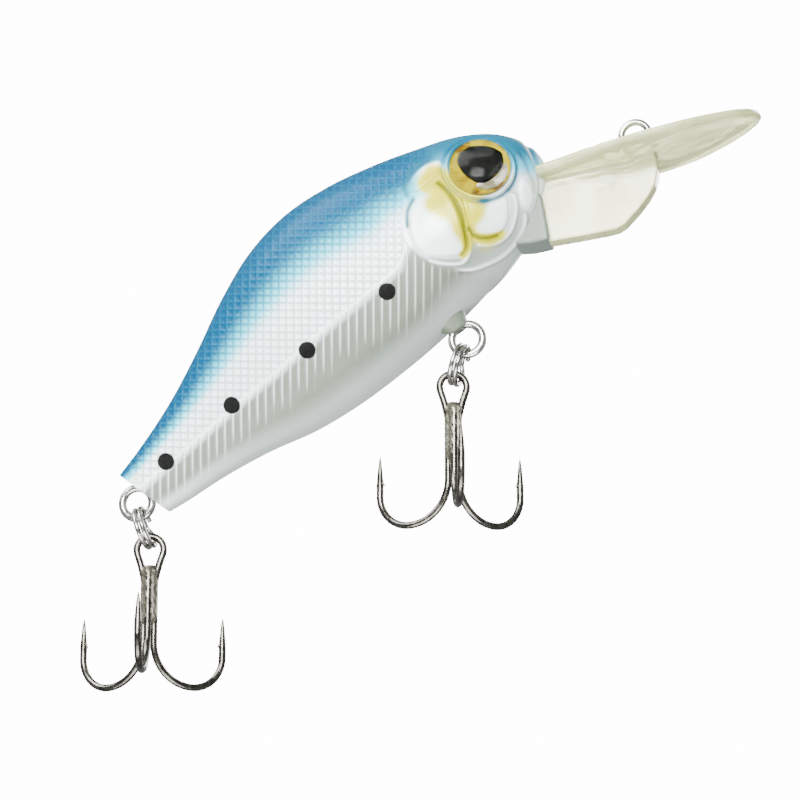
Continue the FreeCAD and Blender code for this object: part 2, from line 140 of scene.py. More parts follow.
def grid_faces(rows, columns, wrap=False, flip=False, offset=0):
    """Quads of a grid whose vertices run along each row in turn."""
    i, j = np.meshgrid(np.arange(rows - 1), np.arange(columns if wrap else columns - 1), indexing="ij")
    k = (j + 1) % columns
    quads = np.stack([i * columns + j, i * columns + k, (i + 1) * columns + k, (i + 1) * columns + j], -1)
    quads = quads.reshape(-1, 4) + offset
    return (quads[:, ::-1] if flip else quads).tolist()


def end_caps(rows, columns):
    """The faces that close both ends of a wrapped grid."""
    return [list(range(columns))[::-1], list(range((rows - 1) * columns, rows * columns))]


def point_attribute(obj, name, values):
    attribute = obj.data.attributes.new(name, "FLOAT", "POINT")
    attribute.data.foreach_set("value", np.asarray(values, np.float32))


def tube(name, path, radius, sides=20, closed=False):
    """A round wire along path, in metres. radius is one number or one per point."""
    path = np.asarray(path, float)
    n = len(path)
    radii = np.full(n, radius) if np.isscalar(radius) else np.asarray(radius, float)
    if closed:
        tangent = np.roll(path, -1, 0) - np.roll(path, 1, 0)
    else:
        tangent = np.gradient(path, axis=0)
    tangent /= np.linalg.norm(tangent, axis=1)[:, None]
    side = np.cross(tangent[0], (0.31, 0.87, 0.39))
    side /= np.linalg.norm(side)
    sides_at = []
    for t in tangent:
        side = side - t * (side @ t)
        side /= np.linalg.norm(side)
        sides_at.append(side)
    sides_at = np.array(sides_at)
    angles = np.zeros(n)
    if closed:                      # spread the leftover twist round the loop
        t = tangent[0]
        end = sides_at[-1] - t * (sides_at[-1] @ t)
        twist = math.atan2(np.cross(end, sides_at[0]) @ t, end @ sides_at[0])
        angles = np.arange(n) / n * twist
    other = np.cross(tangent, sides_at)
    turn = np.arange(sides) * 2 * math.pi / sides
    a = turn[None, :] + angles[:, None]
    rings = path[:, None] + radii[:, None, None] * (
        np.cos(a)[..., None] * sides_at[:, None] + np.sin(a)[..., None] * other[:, None]
    )
    vertices = rings.reshape(-1, 3)
    if closed:
        faces = grid_faces(n + 1, sides, wrap=True)
        faces = [[v % (n * sides) for v in f] for f in faces]
    else:
        faces = grid_faces(n, sides, wrap=True) + end_caps(n, sides)
    return mesh_object(name, vertices, faces)


def join(name, objects):
    """One object out of several, by adding their meshes together."""
    vertices, faces = [], []
    for o in objects:
        base = len(vertices)
        vertices += [tuple(v.co) for v in o.data.vertices]
        faces += [[base + v for v in p.vertices] for p in o.data.polygons]
        bpy.data.objects.remove(o)
    return mesh_object(name, vertices, faces)


def dense_arc(centre, start_deg, end_deg, radius, x_axis, y_axis, count):
    a = np.radians(np.linspace(start_deg, end_deg, count))
    return centre + radius * (np.cos(a)[:, None] * x_axis + np.sin(a)[:, None] * y_axis)


# ---- materials ----
class Nodes:
    """A short way to write a material's node tree."""

    def __init__(self, name):
        self.material = bpy.data.materials.new(name)
        self.material.use_nodes = True
        self.tree = self.material.node_tree
        self.shader = self.tree.nodes["Principled BSDF"]

    def add(self, kind, **settings):
        node = self.tree.nodes.new(kind)
        for key, value in settings.items():
            setattr(node, key, value)
        return node

    def feed(self, socket, value):
        if isinstance(value, bpy.types.NodeSocket):
            self.tree.links.new(value, socket)
        else:
            socket.default_value = value

    def math(self, operation, a, b=0.0, clamp=False):
        node = self.add("ShaderNodeMath", operation=operation, use_clamp=clamp)
        self.feed(node.inputs[0], a)
        self.feed(node.inputs[1], b)
        return node.outputs[0]

    def fit(self, value, low, high, to_low=0.0, to_high=1.0, smooth=True):
        node = self.add("ShaderNodeMapRange", interpolation_type="SMOOTHSTEP" if smooth else "LINEAR")
        for socket, v in zip(node.inputs, (value, low, high, to_low, to_high)):
            self.feed(socket, v)
        return node.outputs[0]

    def mix(self, factor, a, b):
        node = self.add("ShaderNodeMix", data_type="RGBA")
        self.feed(node.inputs[0], factor)
        self.feed(node.inputs[6], a if isinstance(a, bpy.types.NodeSocket) else (*a, 1))
        self.feed(node.inputs[7], b if isinstance(b, bpy.types.NodeSocket) else (*b, 1))
        return node.outputs[2]

    def attribute(self, name, share=1.0):
        value = self.add("ShaderNodeAttribute", attribute_name=name).outputs["Fac"]
        return value if share == 1.0 else self.math("MULTIPLY", value, share)

    def place(self):
        return self.add("ShaderNodeTexCoord").outputs["Object"]

    def noise(self, scale, detail=3.0, roughness=0.5, vector=None):
        node = self.add("ShaderNodeTexNoise")
        self.feed(node.inputs["Vector"], vector or self.place())
        for key, v in (("Scale", scale), ("Detail", detail), ("Roughness", roughness)):
            self.feed(node.inputs[key], v)
        return node.outputs["Fac"]

    def cells(self, scale):
        node = self.add("ShaderNodeTexVoronoi")
        self.feed(node.inputs["Vector"], self.place())
        self.feed(node.inputs["Scale"], scale)
        return node

    def stretched(self, factors):
        node = self.add("ShaderNodeMapping")
        self.feed(node.inputs["Vector"], self.place())
        node.inputs["Scale"].default_value = factors
        return node.outputs[0]

    def bump(self, height, strength, distance):
        node = self.add("ShaderNodeBump")
        self.feed(node.inputs["Height"], height)
        self.feed(node.inputs["Strength"], strength)
        self.feed(node.inputs["Distance"], distance)
        self.feed(self.shader.inputs["Normal"], node.outputs[0])

    def set(self, **values):
        for key, value in values.items():
            self.feed(self.shader.inputs[key.replace("_", " ")], value)


# Colours of the body paint, and of the painted highlights and shade laid on it. A pair is the range that a
# noise wanders over.
PEARL = (0.75, 0.88, 0.88), (0.85, 0.95, 0.94)
GREY_GREEN = (0.100, 0.122, 0.092), (0.128, 0.150, 0.115)
SHIMMER = (0.86, 0.70, 0.62), (0.55, 0.72, 0.92)
DEEP_BLUE = (0.0, 0.036, 0.090), (0.0, 0.053, 0.120)
PALE_BLUE = (0.04, 0.520, 0.660), (0.09, 0.620, 0.750)
HEAD_DEEP, HEAD_PALE = (0.002, 0.085, 0.145), (0.07, 0.42, 0.58)
NET_SHADE_GREY, NET_SHADE_CYAN, NET_HIGHLIGHT_BLUE = (0.46, 0.54, 0.55), (0.02, 0.34, 0.50), (0.0, 0.095, 0.180)
RIDGE_HIGHLIGHT_WHITE, GLINT_WHITE = (0.95, 0.97, 0.96), (0.95, 0.97, 0.98)
GREY_SHADE, BLUE_SHADE = (0.20, 0.25, 0.26), (0.0, 0.030, 0.085)
LIGHT_YELLOW, YELLOW, GROOVE_SHADE_OLIVE = (0.52, 0.49, 0.03), (0.39, 0.362, 0.0), (0.105, 0.115, 0.0)
TEAL, SPOT_BLACK = (0.0, 0.075, 0.115), (0.004, 0.004, 0.004)
PLAIN_GLOSS, BLUE_GLOSS = (1.0, 1.0, 1.0), (0.10, 0.62, 1.0)


def paint_material():
    """Pearl body paint: blue back, silver-white flank, yellow cheeks, black spots, clear coat, and painted
    highlights and shade on the moulded relief.
    """
    m = Nodes("body_paint")
    broad, fine, patchy = m.noise(160, 4), m.noise(2600, 2), m.noise(300, 3)
    base = m.mix(m.attribute("belly"), m.mix(broad, *PEARL), m.mix(broad, *GREY_GREEN))
    base = m.mix(m.attribute("shimmer", 0.30), base, m.mix(m.noise(420, 1), *SHIMMER))

    deep = m.mix(m.attribute("ahead"), m.mix(patchy, *DEEP_BLUE), HEAD_DEEP)
    pale = m.mix(m.attribute("ahead"), m.mix(patchy, *PALE_BLUE), HEAD_PALE)
    mottle = m.fit(fine, 0.2, 0.8, 0.90, 1.06, False)
    blue = m.math("MULTIPLY", m.attribute("blue"), mottle, clamp=True)
    base = m.mix(m.fit(blue, 0.0, 0.45), base, pale)
    base = m.mix(m.fit(blue, 0.30, 0.94), base, deep)

    # Painted light and shade on the raised mesh lines: darker than the white flank and the pale blue, lighter
    # than the deep blue of the back.
    line = m.mix(m.fit(blue, 0.02, 0.30), NET_SHADE_GREY, NET_SHADE_CYAN)
    line = m.mix(m.fit(blue, 0.15, 0.65), line, NET_HIGHLIGHT_BLUE)
    base = m.mix(m.attribute("net_shade_and_highlight", 0.56), base, line)
    # Painted highlight: white along the raised ribs, the lateral line and the face's ridges.
    base = m.mix(m.attribute("ridge_highlight", 0.75), base, RIDGE_HIGHLIGHT_WHITE)
    base = m.mix(m.attribute("shade", 0.50), base, m.mix(m.fit(blue, 0.0, 0.5), GREY_SHADE, BLUE_SHADE))

    yellow = m.attribute("yellow")
    base = m.mix(m.fit(yellow, 0.0, 0.62), base, LIGHT_YELLOW)
    # Painted shade: darker olive in the gill and cheek grooves.
    base = m.mix(m.fit(yellow, 0.35, 1.0), base, m.mix(m.attribute("groove"), YELLOW, GROOVE_SHADE_OLIVE))
    base = m.mix(m.attribute("teal"), base, TEAL)

    sparkle = m.fit(m.cells(5200).outputs["Color"], 0.80, 1.0)
    dull = m.math("MAXIMUM", blue, m.attribute("belly"))
    glint = m.math("MULTIPLY", sparkle, m.fit(dull, 0.0, 0.4, 0.22, 0.03))
    base = m.mix(glint, base, GLINT_WHITE)
    ragged = m.math("ADD", m.attribute("spot"), m.math("MULTIPLY", fine, 0.16))
    spot = m.fit(ragged, -0.02, 0.16, 1.0, 0.0)
    dark = m.math("MAXIMUM", spot, blue)
    uncoated = m.math("MAXIMUM", dark, m.attribute("belly"))
    m.set(
        Base_Color=m.mix(spot, base, SPOT_BLACK), Coat_Roughness=0.10,
        Coat_Weight=m.fit(uncoated, 0.0, 0.8, 0.24, 0.03, False),
        Metallic=m.fit(dark, 0.0, 0.8, 0.12, 0.0, False),
        Roughness=m.fit(fine, 0.2, 0.8, 0.30, 0.42, False),
        Specular_IOR_Level=m.fit(m.attribute("belly"), 0.0, 0.8, 0.12, 0.05, False),
        Specular_Tint=m.mix(m.fit(blue, 0.2, 0.7), PLAIN_GLOSS, BLUE_GLOSS),
    )
    m.bump(fine, 0.10, 0.00003)
    return m.material


def bare_plastic_material():
    """Unpainted pale plastic at the cut tail, dulled by overspray."""
    m = Nodes("bare_plastic")
    mottled = m.noise(700, 4)
    m.set(Base_Color=m.mix(m.fit(mottled, 0.35, 0.7), (0.66, 0.74, 0.72), (0.52, 0.60, 0.60)),
          Roughness=m.fit(mottled, 0.2, 0.8, 0.30, 0.50, False), Coat_Weight=0.3)
    m.bump(m.noise(1800, 3), 0.2, 0.00008)
    return m.material


def lip_material():
    """Clear polycarbonate with a faint straw tint, haze and flow marks."""
    m = Nodes("clear_polycarbonate")
    haze = m.fit(m.noise(170, 4), 0.34, 0.66)
    flow = m.noise(1.0, 2, 0.5, m.stretched((60, 240, 60)))
    m.set(Base_Color=m.mix(haze, (0.64, 0.66, 0.37), (0.46, 0.49, 0.235)), IOR=1.42,
          Roughness=m.fit(haze, 0.3, 0.7, 0.07, 0.16, False), Transmission_Weight=0.40)
    m.bump(m.math("ADD", flow, m.math("MULTIPLY", haze, 0.4)), 0.22, 0.0006)
    return m.material


def lens_material():
    m = Nodes("clear_eye_lens")
    fine = m.noise(900, 2)
    m.set(Base_Color=m.mix(fine, (0.99, 0.99, 0.985), (0.96, 0.965, 0.955)), IOR=1.11,
          Roughness=m.fit(fine, 0.3, 0.7, 0.0, 0.02, False), Transmission_Weight=1.0)
    return m.material


def foil_material(name, dark, light, metallic):
    """Holographic film: fine ruled lines that shift between two tones."""
    m = Nodes(name)
    grain = m.noise(1.0, 2, 0.6, m.stretched((900, 2600, 2400)))
    patch = m.noise(330, 2)
    ruled = m.math("ADD", m.math("MULTIPLY", grain, 0.6), m.math("MULTIPLY", patch, 0.6))
    # Painted reflection: the foil's facets and streaks made lighter or darker.
    tone = m.fit(m.math("ADD", ruled, m.math("MULTIPLY", m.attribute("foil_reflection"), 0.5)), 0.62, 1.06)
    m.set(Base_Color=m.mix(tone, dark, light), Metallic=metallic, Specular_IOR_Level=0.06,
          Roughness=m.fit(grain, 0.3, 0.7, 0.32, 0.50, False))
    m.bump(grain, 0.2, 0.00004)
    return m.material


def pupil_material():
    m = Nodes("pupil_print")
    fine = m.noise(1500, 2)
    m.set(Base_Color=m.mix(fine, (0.003, 0.003, 0.003), (0.008, 0.008, 0.007)), Specular_IOR_Level=0.05,
          Roughness=m.fit(fine, 0.2, 0.8, 0.35, 0.5, False))
    return m.material


def steel_material(name, dark, light, smooth, rough, pit_scale, pits):
    """Plated wire: drawn marks, faint pits and uneven gloss."""
    m = Nodes(name)
    patch, pit = m.noise(600, 4), m.noise(pit_scale, 3, 0.6)
    tone = m.fit(m.math("ADD", m.math("MULTIPLY", patch, 0.6), m.math("MULTIPLY", pit, 0.4)), 0.35, 0.65)
    m.set(Base_Color=m.mix(tone, dark, light), Metallic=1.0,
          Roughness=m.fit(pit, 0.3, 0.7, smooth, rough, False))
    m.bump(pit, pits, 0.00012)
    return m.material


PAINT = paint_material()
BARE = bare_plastic_material()
LIP = lip_material()
LENS = lens_material()
GOLD_FOIL = foil_material("gold_foil", (0.11, 0.050, 0.0), (0.42, 0.330, 0.0), 0.15)
SILVER_FOIL = foil_material("silver_foil", (0.20, 0.19, 0.11), (0.72, 0.70, 0.58), 0.20)
PUPIL = pupil_material()
# name, dark, light, gloss where smooth and where rough, size of the pits' pattern, depth of the pits
NICKEL = steel_material("bright_nickel", (0.32, 0.315, 0.29), (0.60, 0.59, 0.55), 0.12, 0.26, 1500, 0.12)
RING_STEEL = steel_material(
    "split_ring_nickel", (0.26, 0.255, 0.235), (0.52, 0.51, 0.475), 0.12, 0.28, 1500, 0.15)
HOOK_STEEL = steel_material(
    "dark_nickel", (0.050, 0.048, 0.040), (0.155, 0.150, 0.128), 0.14, 0.30, 1300, 0.25)
BRAZE = steel_material("plated_braze", (0.15, 0.14, 0.105), (0.36, 0.34, 0.265), 0.28, 0.50, 1900, 0.8)
BALLAST = steel_material("ground_steel", (0.38, 0.38, 0.38), (0.55, 0.55, 0.55), 0.20, 0.42, 1100, 0.2)


def finish_piece(obj, body, slot, material, *nodes):
    """Gives a piece its material, hides the CAD nodes it stands for, and lets it ride on a body."""
    obj.data.materials.append(material)
    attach(obj, body)
    if nodes:
        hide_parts(*nodes)
    return obj


# ---- body skin ----
OUTLINE = smooth_curve(STATIONS, 160)      # the body outline as a dense table in x


def outline_at(x):
    return [np.interp(x, OUTLINE[:, 0], OUTLINE[:, k]) for k in (1, 2, 3)]


def skin_point(x, angle):
    """A point of the near half of the body, y >= 0. angle runs from a right angle at the back down."""
    top, foot, half = outline_at(x)
    c, s = np.cos(angle), np.sin(angle)
    y = half * np.abs(c) ** SECTION_POWER
    z = (top + foot) / 2 + (top - foot) / 2 * np.sign(s) * np.abs(s) ** SECTION_POWER
    return np.stack([x, y, z], -1)


def even_angles(count):
    """Angles round a mid-body section that give evenly spaced points."""
    a = np.linspace(math.pi / 2, -math.pi / 2, 4001)
    p = skin_point(np.full(a.shape, 42.0), a)
    run = np.concatenate([[0], np.cumsum(np.linalg.norm(np.diff(p, axis=0), axis=1))])
    return np.interp(np.linspace(0, run[-1], count), run, a)


# Face outlines and lines, in the pattern plane: (along the body, up), in millimetres.
LATERAL_LINE = [
    (-4, 0.2), (5, 0.9), (18.3, 2.1), (24.6, 2.5), (33.1, 3.4), (42.2, 3.9), (46, 4.3), (48.6, 6.0),
]
SPOTS, SPOT_RADIUS = [(42.8, 2.5), (29.5, 2.4), (16.7, 2.3), (4.7, 1.3)], 1.2
FACE = [
    (59.5, 22), (58.9, 15.5), (58.8, 13.8), (56.7, 14.0), (54.2, 13.5), (52.2, 12.0), (51.4, 10.4),
    (49.6, 8.4), (48.7, 5.5), (48.9, 3.2), (50.2, 1.2), (52.2, -1.0), (54.5, -3.4), (57.0, -5.5),
    (60.0, -12), (80, -12), (80, 22),
]
LOBE = [
    (58.9, 11.5), (59.1, 12.5), (58.3, 13.0), (56.7, 13.3), (55.0, 13.1), (53.6, 12.4), (53.0, 11.6),
    (53.8, 11.0), (54.9, 10.8), (56.4, 10.9), (57.8, 11.1),
]
GILL_COVER = [
    (56.8, 9.9), (57.2, 8.6), (57.1, 6.7), (56.7, 5.0), (56.1, 3.6), (55.5, 2.2), (54.8, 1.1), (54.0, 0.7),
    (52.9, 1.1), (51.6, 2.0), (50.1, 3.1), (49.6, 4.2), (49.5, 5.8), (50.0, 7.3), (50.8, 8.6), (51.9, 9.6),
    (53.1, 10.1), (54.4, 10.3), (55.8, 10.2),
]
GILL_GROOVE = [
    (57.0, 10.3), (57.4, 8.6), (57.3, 6.7), (56.9, 4.9), (56.2, 3.4), (55.6, 2.0), (54.9, 0.9), (54.0, 0.4),
]
GILL_UNDER_GROOVE = [(54.0, 0.4), (52.8, 0.8), (51.4, 1.8), (50.3, 2.7)]
GILL_RIDGE = [(57.7, 10.4), (58.1, 9.0), (58.0, 7.4), (57.6, 5.8), (57.0, 4.3), (56.6, 3.3)]
UNDER_RIDGE = [(49.9, 2.4), (51.0, 1.2), (52.4, 0.1), (53.4, -0.3), (54.4, 0.0), (55.4, 0.9), (56.1, 2.0)]
CHEEK = [
    (58.6, 6.5), (57.7, 4.6), (57.1, 3.2), (56.9, 1.9), (57.4, 1.0), (58.4, 0.3), (59.7, -0.1), (60.7, 0.1),
    (61.7, 0.8), (62.6, 1.9), (63.4, 3.3), (63.2, 4.0), (61.0, 4.6), (59.6, 5.8),
]
CHEEK_GROOVE = [
    (56.7, 2.8), (56.7, 1.8), (57.2, 0.9), (58.3, 0.1), (59.7, -0.3), (60.8, -0.1), (61.9, 0.6), (62.8, 1.8),
    (63.6, 3.3),
]
CHEEK_RIDGE = [(64.2, 2.8), (63.4, 1.3), (62.2, 0.1), (61.0, -0.7), (59.5, -1.0), (57.9, -0.7), (56.5, 0.3)]
JAW_RIDGE = [
    (63.9, -0.2), (63.1, -1.2), (61.6, -2.1), (59.8, -2.7), (57.7, -2.8), (55.6, -2.4), (53.8, -1.8),
    (52.2, -0.8),
]
MAXILLA = [
    (66.6, 4.1), (67.0, 3.2), (66.7, 1.8), (66.2, 0.8), (65.3, 0.3), (64.7, 0.6), (64.5, 1.4), (64.9, 2.6),
    (65.7, 3.6),
]
SNOUT_LINE = [(68.5, 7.2), (68.4, 5.8), (68.0, 4.3), (67.6, 2.6), (67.0, 1.5)]
MOUTH_LINE = [
    (70.3, 8.2), (70.0, 6.3), (69.4, 4.3), (68.8, 2.8), (67.9, 1.4), (66.4, -0.1), (64.8, -1.3),
    (63.0, -2.5),
]
# Ridges and grooves of the face: points, height (below 0 for a groove), half width.
FACE_LINES = {
    "gill_groove": (GILL_GROOVE, -0.26, 0.26), "under_groove": (GILL_UNDER_GROOVE, -0.20, 0.24),
    "gill_ridge": (GILL_RIDGE, 0.26, 0.34), "under_ridge": (UNDER_RIDGE, 0.24, 0.32),
    "cheek_groove": (CHEEK_GROOVE, -0.22, 0.26), "cheek_ridge": (CHEEK_RIDGE, 0.20, 0.34),
    "jaw": (JAW_RIDGE, 0.28, 0.34), "snout": (SNOUT_LINE, -0.16, 0.4), "mouth": (MOUTH_LINE, -0.26, 0.30),
}
# Raised plates of the face: outline, then each rise as (height, depth inside where it starts, and ends).
FACE_PLATES = {
    "lobe": (LOBE, (0.26, -0.25, 0.5)), "gill": (GILL_COVER, (0.34, -0.25, 0.5), (0.16, 0.4, 3.2)),
    "cheek": (CHEEK, (0.24, -0.25, 0.6)), "maxilla": (MAXILLA, (0.26, -0.2, 0.5)),
}
# Yellow patches beside the gill groove: along, up, size, strength.
YELLOW_PATCHES = [
    (58.8, 8.4, 1.6, 0.85), (58.4, 4.4, 1.45, 0.7), (57.2, 11.4, 1.15, 0.7), (59.4, 5.8, 1.4, 0.6),
    (57.6, 0.0, 1.5, 0.2), (55.6, 11.0, 1.1, 0.6), (55.8, 7.2, 1.5, 0.75), (54.6, 8.4, 1.0, 0.45),
]
TEAL_GILL_EDGE = [(50.2, 8.0), (51.3, 9.5), (52.9, 10.4)]
TEAL_LOBE_EDGE = [(52.6, 11.4), (53.2, 12.6), (54.8, 13.6), (56.5, 13.8)]
PATTERN_TILT = math.radians(36.0)
ROW_SPACING, COLUMN_SPACING, RIB_SPACING = 0.99, 1.04, 1.12
MESH_HEIGHT, RIB_HEIGHT, LATERAL_HEIGHT = 0.09, 0.13, 0.14
MESH_WIDTH, RIB_WIDTH, LATERAL_WIDTH = 0.17, 0.12, 0.24
FAR = 9.0                           # a distance at which no line, plate or spot has any effect
PAINT_AMOUNTS = ("blue", "ahead", "belly", "yellow", "groove", "teal", "net_shade_and_highlight", "ridge_highlight", "shade", "shimmer")


def bell(distance, width):
    return np.exp(-((distance / width) ** 2))


def comb(value, spacing, width):
    """Evenly spaced narrow ridges, from 0 to 1."""
    off = np.abs((value / spacing + 0.5) % 1 - 0.5) * spacing
    return bell(off, width)


def eye_axis():
    """Outward way of the left eye."""
    return np.array([
        math.sin(EYE_YAW) * math.cos(EYE_RISE), math.cos(EYE_YAW) * math.cos(EYE_RISE), math.sin(EYE_RISE)
    ])


def pattern_plane(points):
    """Where a skin point lies in the plane that the moulded pattern is laid out in."""
    x, y, z = points[..., 0], np.abs(points[..., 1]), points[..., 2]
    return x - 0.02 * y - 0.25, 0.014 * x + 0.352 * y + 0.939 * z - 0.86


class Place:
    """Where points of the left half lie in the pattern: the distances relief and paint are made from."""

    def __init__(self, points):
        self.p, self.q = pattern_plane(points)
        top, foot, _ = outline_at(points[..., 0])
        lateral_q = np.interp(self.p, *zip(*LATERAL_LINE))
        self.over = self.q - lateral_q
        self.back = self.over / np.maximum(0.94 * top - 0.4 - lateral_q, 1)
        self.keel = -self.over / np.maximum(lateral_q - foot, 1)
        self.face_depth = depth_inside(self.p, self.q, np.array(FACE, float))
        self.spot = np.min([np.hypot(self.p - a, self.q - b) for a, b in SPOTS], axis=0) - SPOT_RADIUS
        self.measure_face()
        self.measure_scales()
        axis = eye_axis()
        rel = points - EYE_CENTRE
        rise = rel @ axis
        eye_r = np.linalg.norm(rel - rise[..., None] * axis, axis=-1)
        self.eye_r = np.where(rise > -3.0, eye_r, 99.0)

    def measure_face(self):
        """Distance to each face line and depth inside each plate, worked out only near the face."""
        near = self.face_depth > -1.5
        at = self.p[near], self.q[near]
        self.lines, self.plates = {}, {}
        for name, (points, *_) in FACE_LINES.items():
            self.lines[name] = np.full(self.p.shape, FAR)
            self.lines[name][near] = distance_to(*at, smooth_curve(points))
        for name, (points, *_) in FACE_PLATES.items():
            self.plates[name] = np.full(self.p.shape, -FAR)
            self.plates[name][near] = depth_inside(*at, smooth_curve(points, closed=True))

    def measure_scales(self):
        """The mesh above the lateral line, the ribs under it, the line itself, and painted shade beside the
        mesh and the ribs.
        """
        across = self.p * math.cos(PATTERN_TILT) - self.q * math.sin(PATTERN_TILT)
        upward = self.p * math.sin(PATTERN_TILT) + self.q * math.cos(PATTERN_TILT)
        self.scaled = smoothstep(0.3, -0.5, self.face_depth)
        here = self.scaled * smoothstep(-2.0, 1.5, self.p)
        above = smoothstep(-0.1, 0.35, self.over) * here
        below = smoothstep(0.1, -0.35, self.over) * here
        columns, lines = comb(across, COLUMN_SPACING, MESH_WIDTH), comb(upward, ROW_SPACING, MESH_WIDTH)
        self.mesh = np.maximum(columns, lines) * above
        length = 5.2 + 0.8 * np.sin(self.p * 1.7) + 4.0 * smoothstep(30, 46, self.p)
        self.rib = comb(across, RIB_SPACING, RIB_WIDTH) * smoothstep(length, 1.2, -self.over) * below
        from_line = distance_to(self.p, self.q, smooth_curve(LATERAL_LINE))
        self.lateral = bell(from_line, LATERAL_WIDTH) * here
        # Painted shade: the mesh and rib lines moved a little aside, where the raised relief would shade the
        # paint.
        columns, lines = comb(across + 0.17, COLUMN_SPACING, 0.13), comb(upward + 0.17, ROW_SPACING, 0.13)
        shade_between_ribs = comb(across + 0.22, RIB_SPACING, 0.14) * smoothstep(4.6, 0.8, -self.over)
        self.gap_shade = np.maximum(columns, lines) * above + 1.2 * shade_between_ribs * below


def skin_relief(at):
    """How far the skin stands out, in millimetres."""
    relief = MESH_HEIGHT * at.mesh * smoothstep(1.02, 0.80, at.back) + RIB_HEIGHT * at.rib
    relief += LATERAL_HEIGHT * at.lateral
    for name, (_, height, width) in FACE_LINES.items():
        relief += height * bell(at.lines[name], width)
    for name, (_, *rises) in FACE_PLATES.items():
        for height, start, end in rises:
            relief += height * smoothstep(start, end, at.plates[name])
    from_rim = at.eye_r - EYE_RADIUS
    relief = relief * smoothstep(0.7, 1.5, from_rim)
    relief += 0.22 * bell(from_rim - 0.34, 0.26) - 0.30 * bell(from_rim - 0.86, 0.26)
    in_spot = smoothstep(0.15, -0.15, at.spot)
    return relief * (1 - 0.75 * in_spot) + 0.06 * in_spot


def blue_amount(at):
    """Full along the back, fading towards the lateral line, and lower down on the snout."""
    ahead = smoothstep(57.0, 60.0, at.p)
    start = 0.30 - 0.12 * smoothstep(34, 50, at.p)
    snout = smoothstep(4.4, 12.2, at.q + 0.75 * (at.p - 64))
    blue = smoothstep(start, 0.90, at.back) * (1 - ahead) + snout * ahead
    return blue * (1 - 0.9 * smoothstep(-0.3, 0.6, at.plates["lobe"]) * smoothstep(53.2, 56.8, at.p))


def belly_amount(at):
    """Grey-green under the lateral line, less of it towards the keel as painted light from below, and hardly
    there on the face plates.
    """
    # Painted light from below: the belly's grey-green thins towards the keel, so the bottom is lighter.
    belly = smoothstep(0.3, -1.2, at.over) * (1 - 0.45 * smoothstep(0.55, 0.95, at.keel))
    raised = smoothstep(-0.8, 0.3, np.max(list(at.plates.values()), axis=0))
    belly *= 1 - 0.88 * raised - 0.12 * smoothstep(-0.5, 1.0, at.face_depth)
    return np.clip(belly * (1 - 0.55 * smoothstep(60, 66, at.p)), 0, 1)


def yellow_amount(at):
    """Beside the gill and cheek grooves, and in soft patches round them."""
    beside = at.lines["gill_groove"]
    yellow = 1.1 * bell(beside, 1.25) * smoothstep(1.0, 4.5, at.q)
    yellow += 0.95 * bell(beside, 0.6) * smoothstep(-1.0, 1.6, at.q)
    yellow += 0.9 * bell(at.lines["cheek_groove"], 0.5) * smoothstep(61.0, 59.0, at.p)
    for along, up, size, strength in YELLOW_PATCHES:
        yellow += strength * bell(np.hypot(at.p - along, at.q - up), size)
    return (1 - np.exp(-2.2 * yellow)) * smoothstep(-0.8, 0.3, at.face_depth)


def teal_amount(at):
    """The lower front of the eye's rim, a smudge under it, and the back edges of gill cover and lobe."""
    low_front = smoothstep(-2.5, 2.5, (at.p - 63.0) * 0.8 - (at.q - 8.0) * 0.6)
    teal = bell(at.eye_r - EYE_RADIUS - 0.80, 0.34) * (0.30 + 0.65 * low_front)
    smudge = bell(np.hypot(at.p - 60.3, at.q - 4.5), 1.0) * smoothstep(0.5, -0.3, at.plates["cheek"] - 0.9)
    gill_edge = distance_to(at.p, at.q, smooth_curve(TEAL_GILL_EDGE))
    lobe_edge = distance_to(at.p, at.q, smooth_curve(TEAL_LOBE_EDGE))
    return np.clip(teal + 0.55 * smudge + 0.95 * bell(gill_edge, 0.42) + 0.75 * bell(lobe_edge, 0.42), 0, 1)


def skin_paint(at):
    """Paint amounts from 0 to 1, painted light and shade among them, and spot, which is the distance outside
    the nearest spot.
    """
    lines, on_face = at.lines, smoothstep(0.0, 0.5, at.face_depth)
    belly = belly_amount(at)
    # Painted shade in the gill and cheek grooves, drawn as darker olive.
    groove = bell(lines["gill_groove"], 0.30) + bell(lines["cheek_groove"], 0.3) * (at.p < 59.5)
    # Painted highlight along the ribs, the lateral line and the ridges of the face.
    edges = np.min([lines[name] for name in ("gill_ridge", "under_ridge", "cheek_ridge", "jaw")], axis=0)
    ridge_highlight = np.clip(0.85 * at.rib + 0.6 * at.lateral, 0, 1) + 1.3 * bell(edges, 0.2) * on_face
    # Painted shade along the snout line and beside the jaw, gill, cheek and under ridges.
    crease_shade = bell(lines["snout"], 0.25) + bell(lines["jaw"] - 0.5, 0.16)
    for name, width in (("gill_ridge", 0.14), ("cheek_ridge", 0.14), ("under_ridge", 0.15)):
        crease_shade += bell(lines[name] - 0.5, width)
    # The mesh lines' amount carries their painted light and shade.
    return {
        "blue": blue_amount(at), "ahead": smoothstep(54.0, 60.0, at.p), "belly": belly,
        "yellow": yellow_amount(at), "groove": np.clip(groove, 0, 1), "teal": teal_amount(at),
        "net_shade_and_highlight": np.clip(at.mesh, 0, 1), "ridge_highlight": np.clip(ridge_highlight, 0, 1),
        "shade": np.clip(at.gap_shade + 0.9 * crease_shade * on_face, 0, 1),
        "shimmer": smoothstep(6.5, 0.5, np.abs(at.over + 0.6)) * at.scaled * (1 - 0.85 * belly),
        "spot": at.spot,
    }


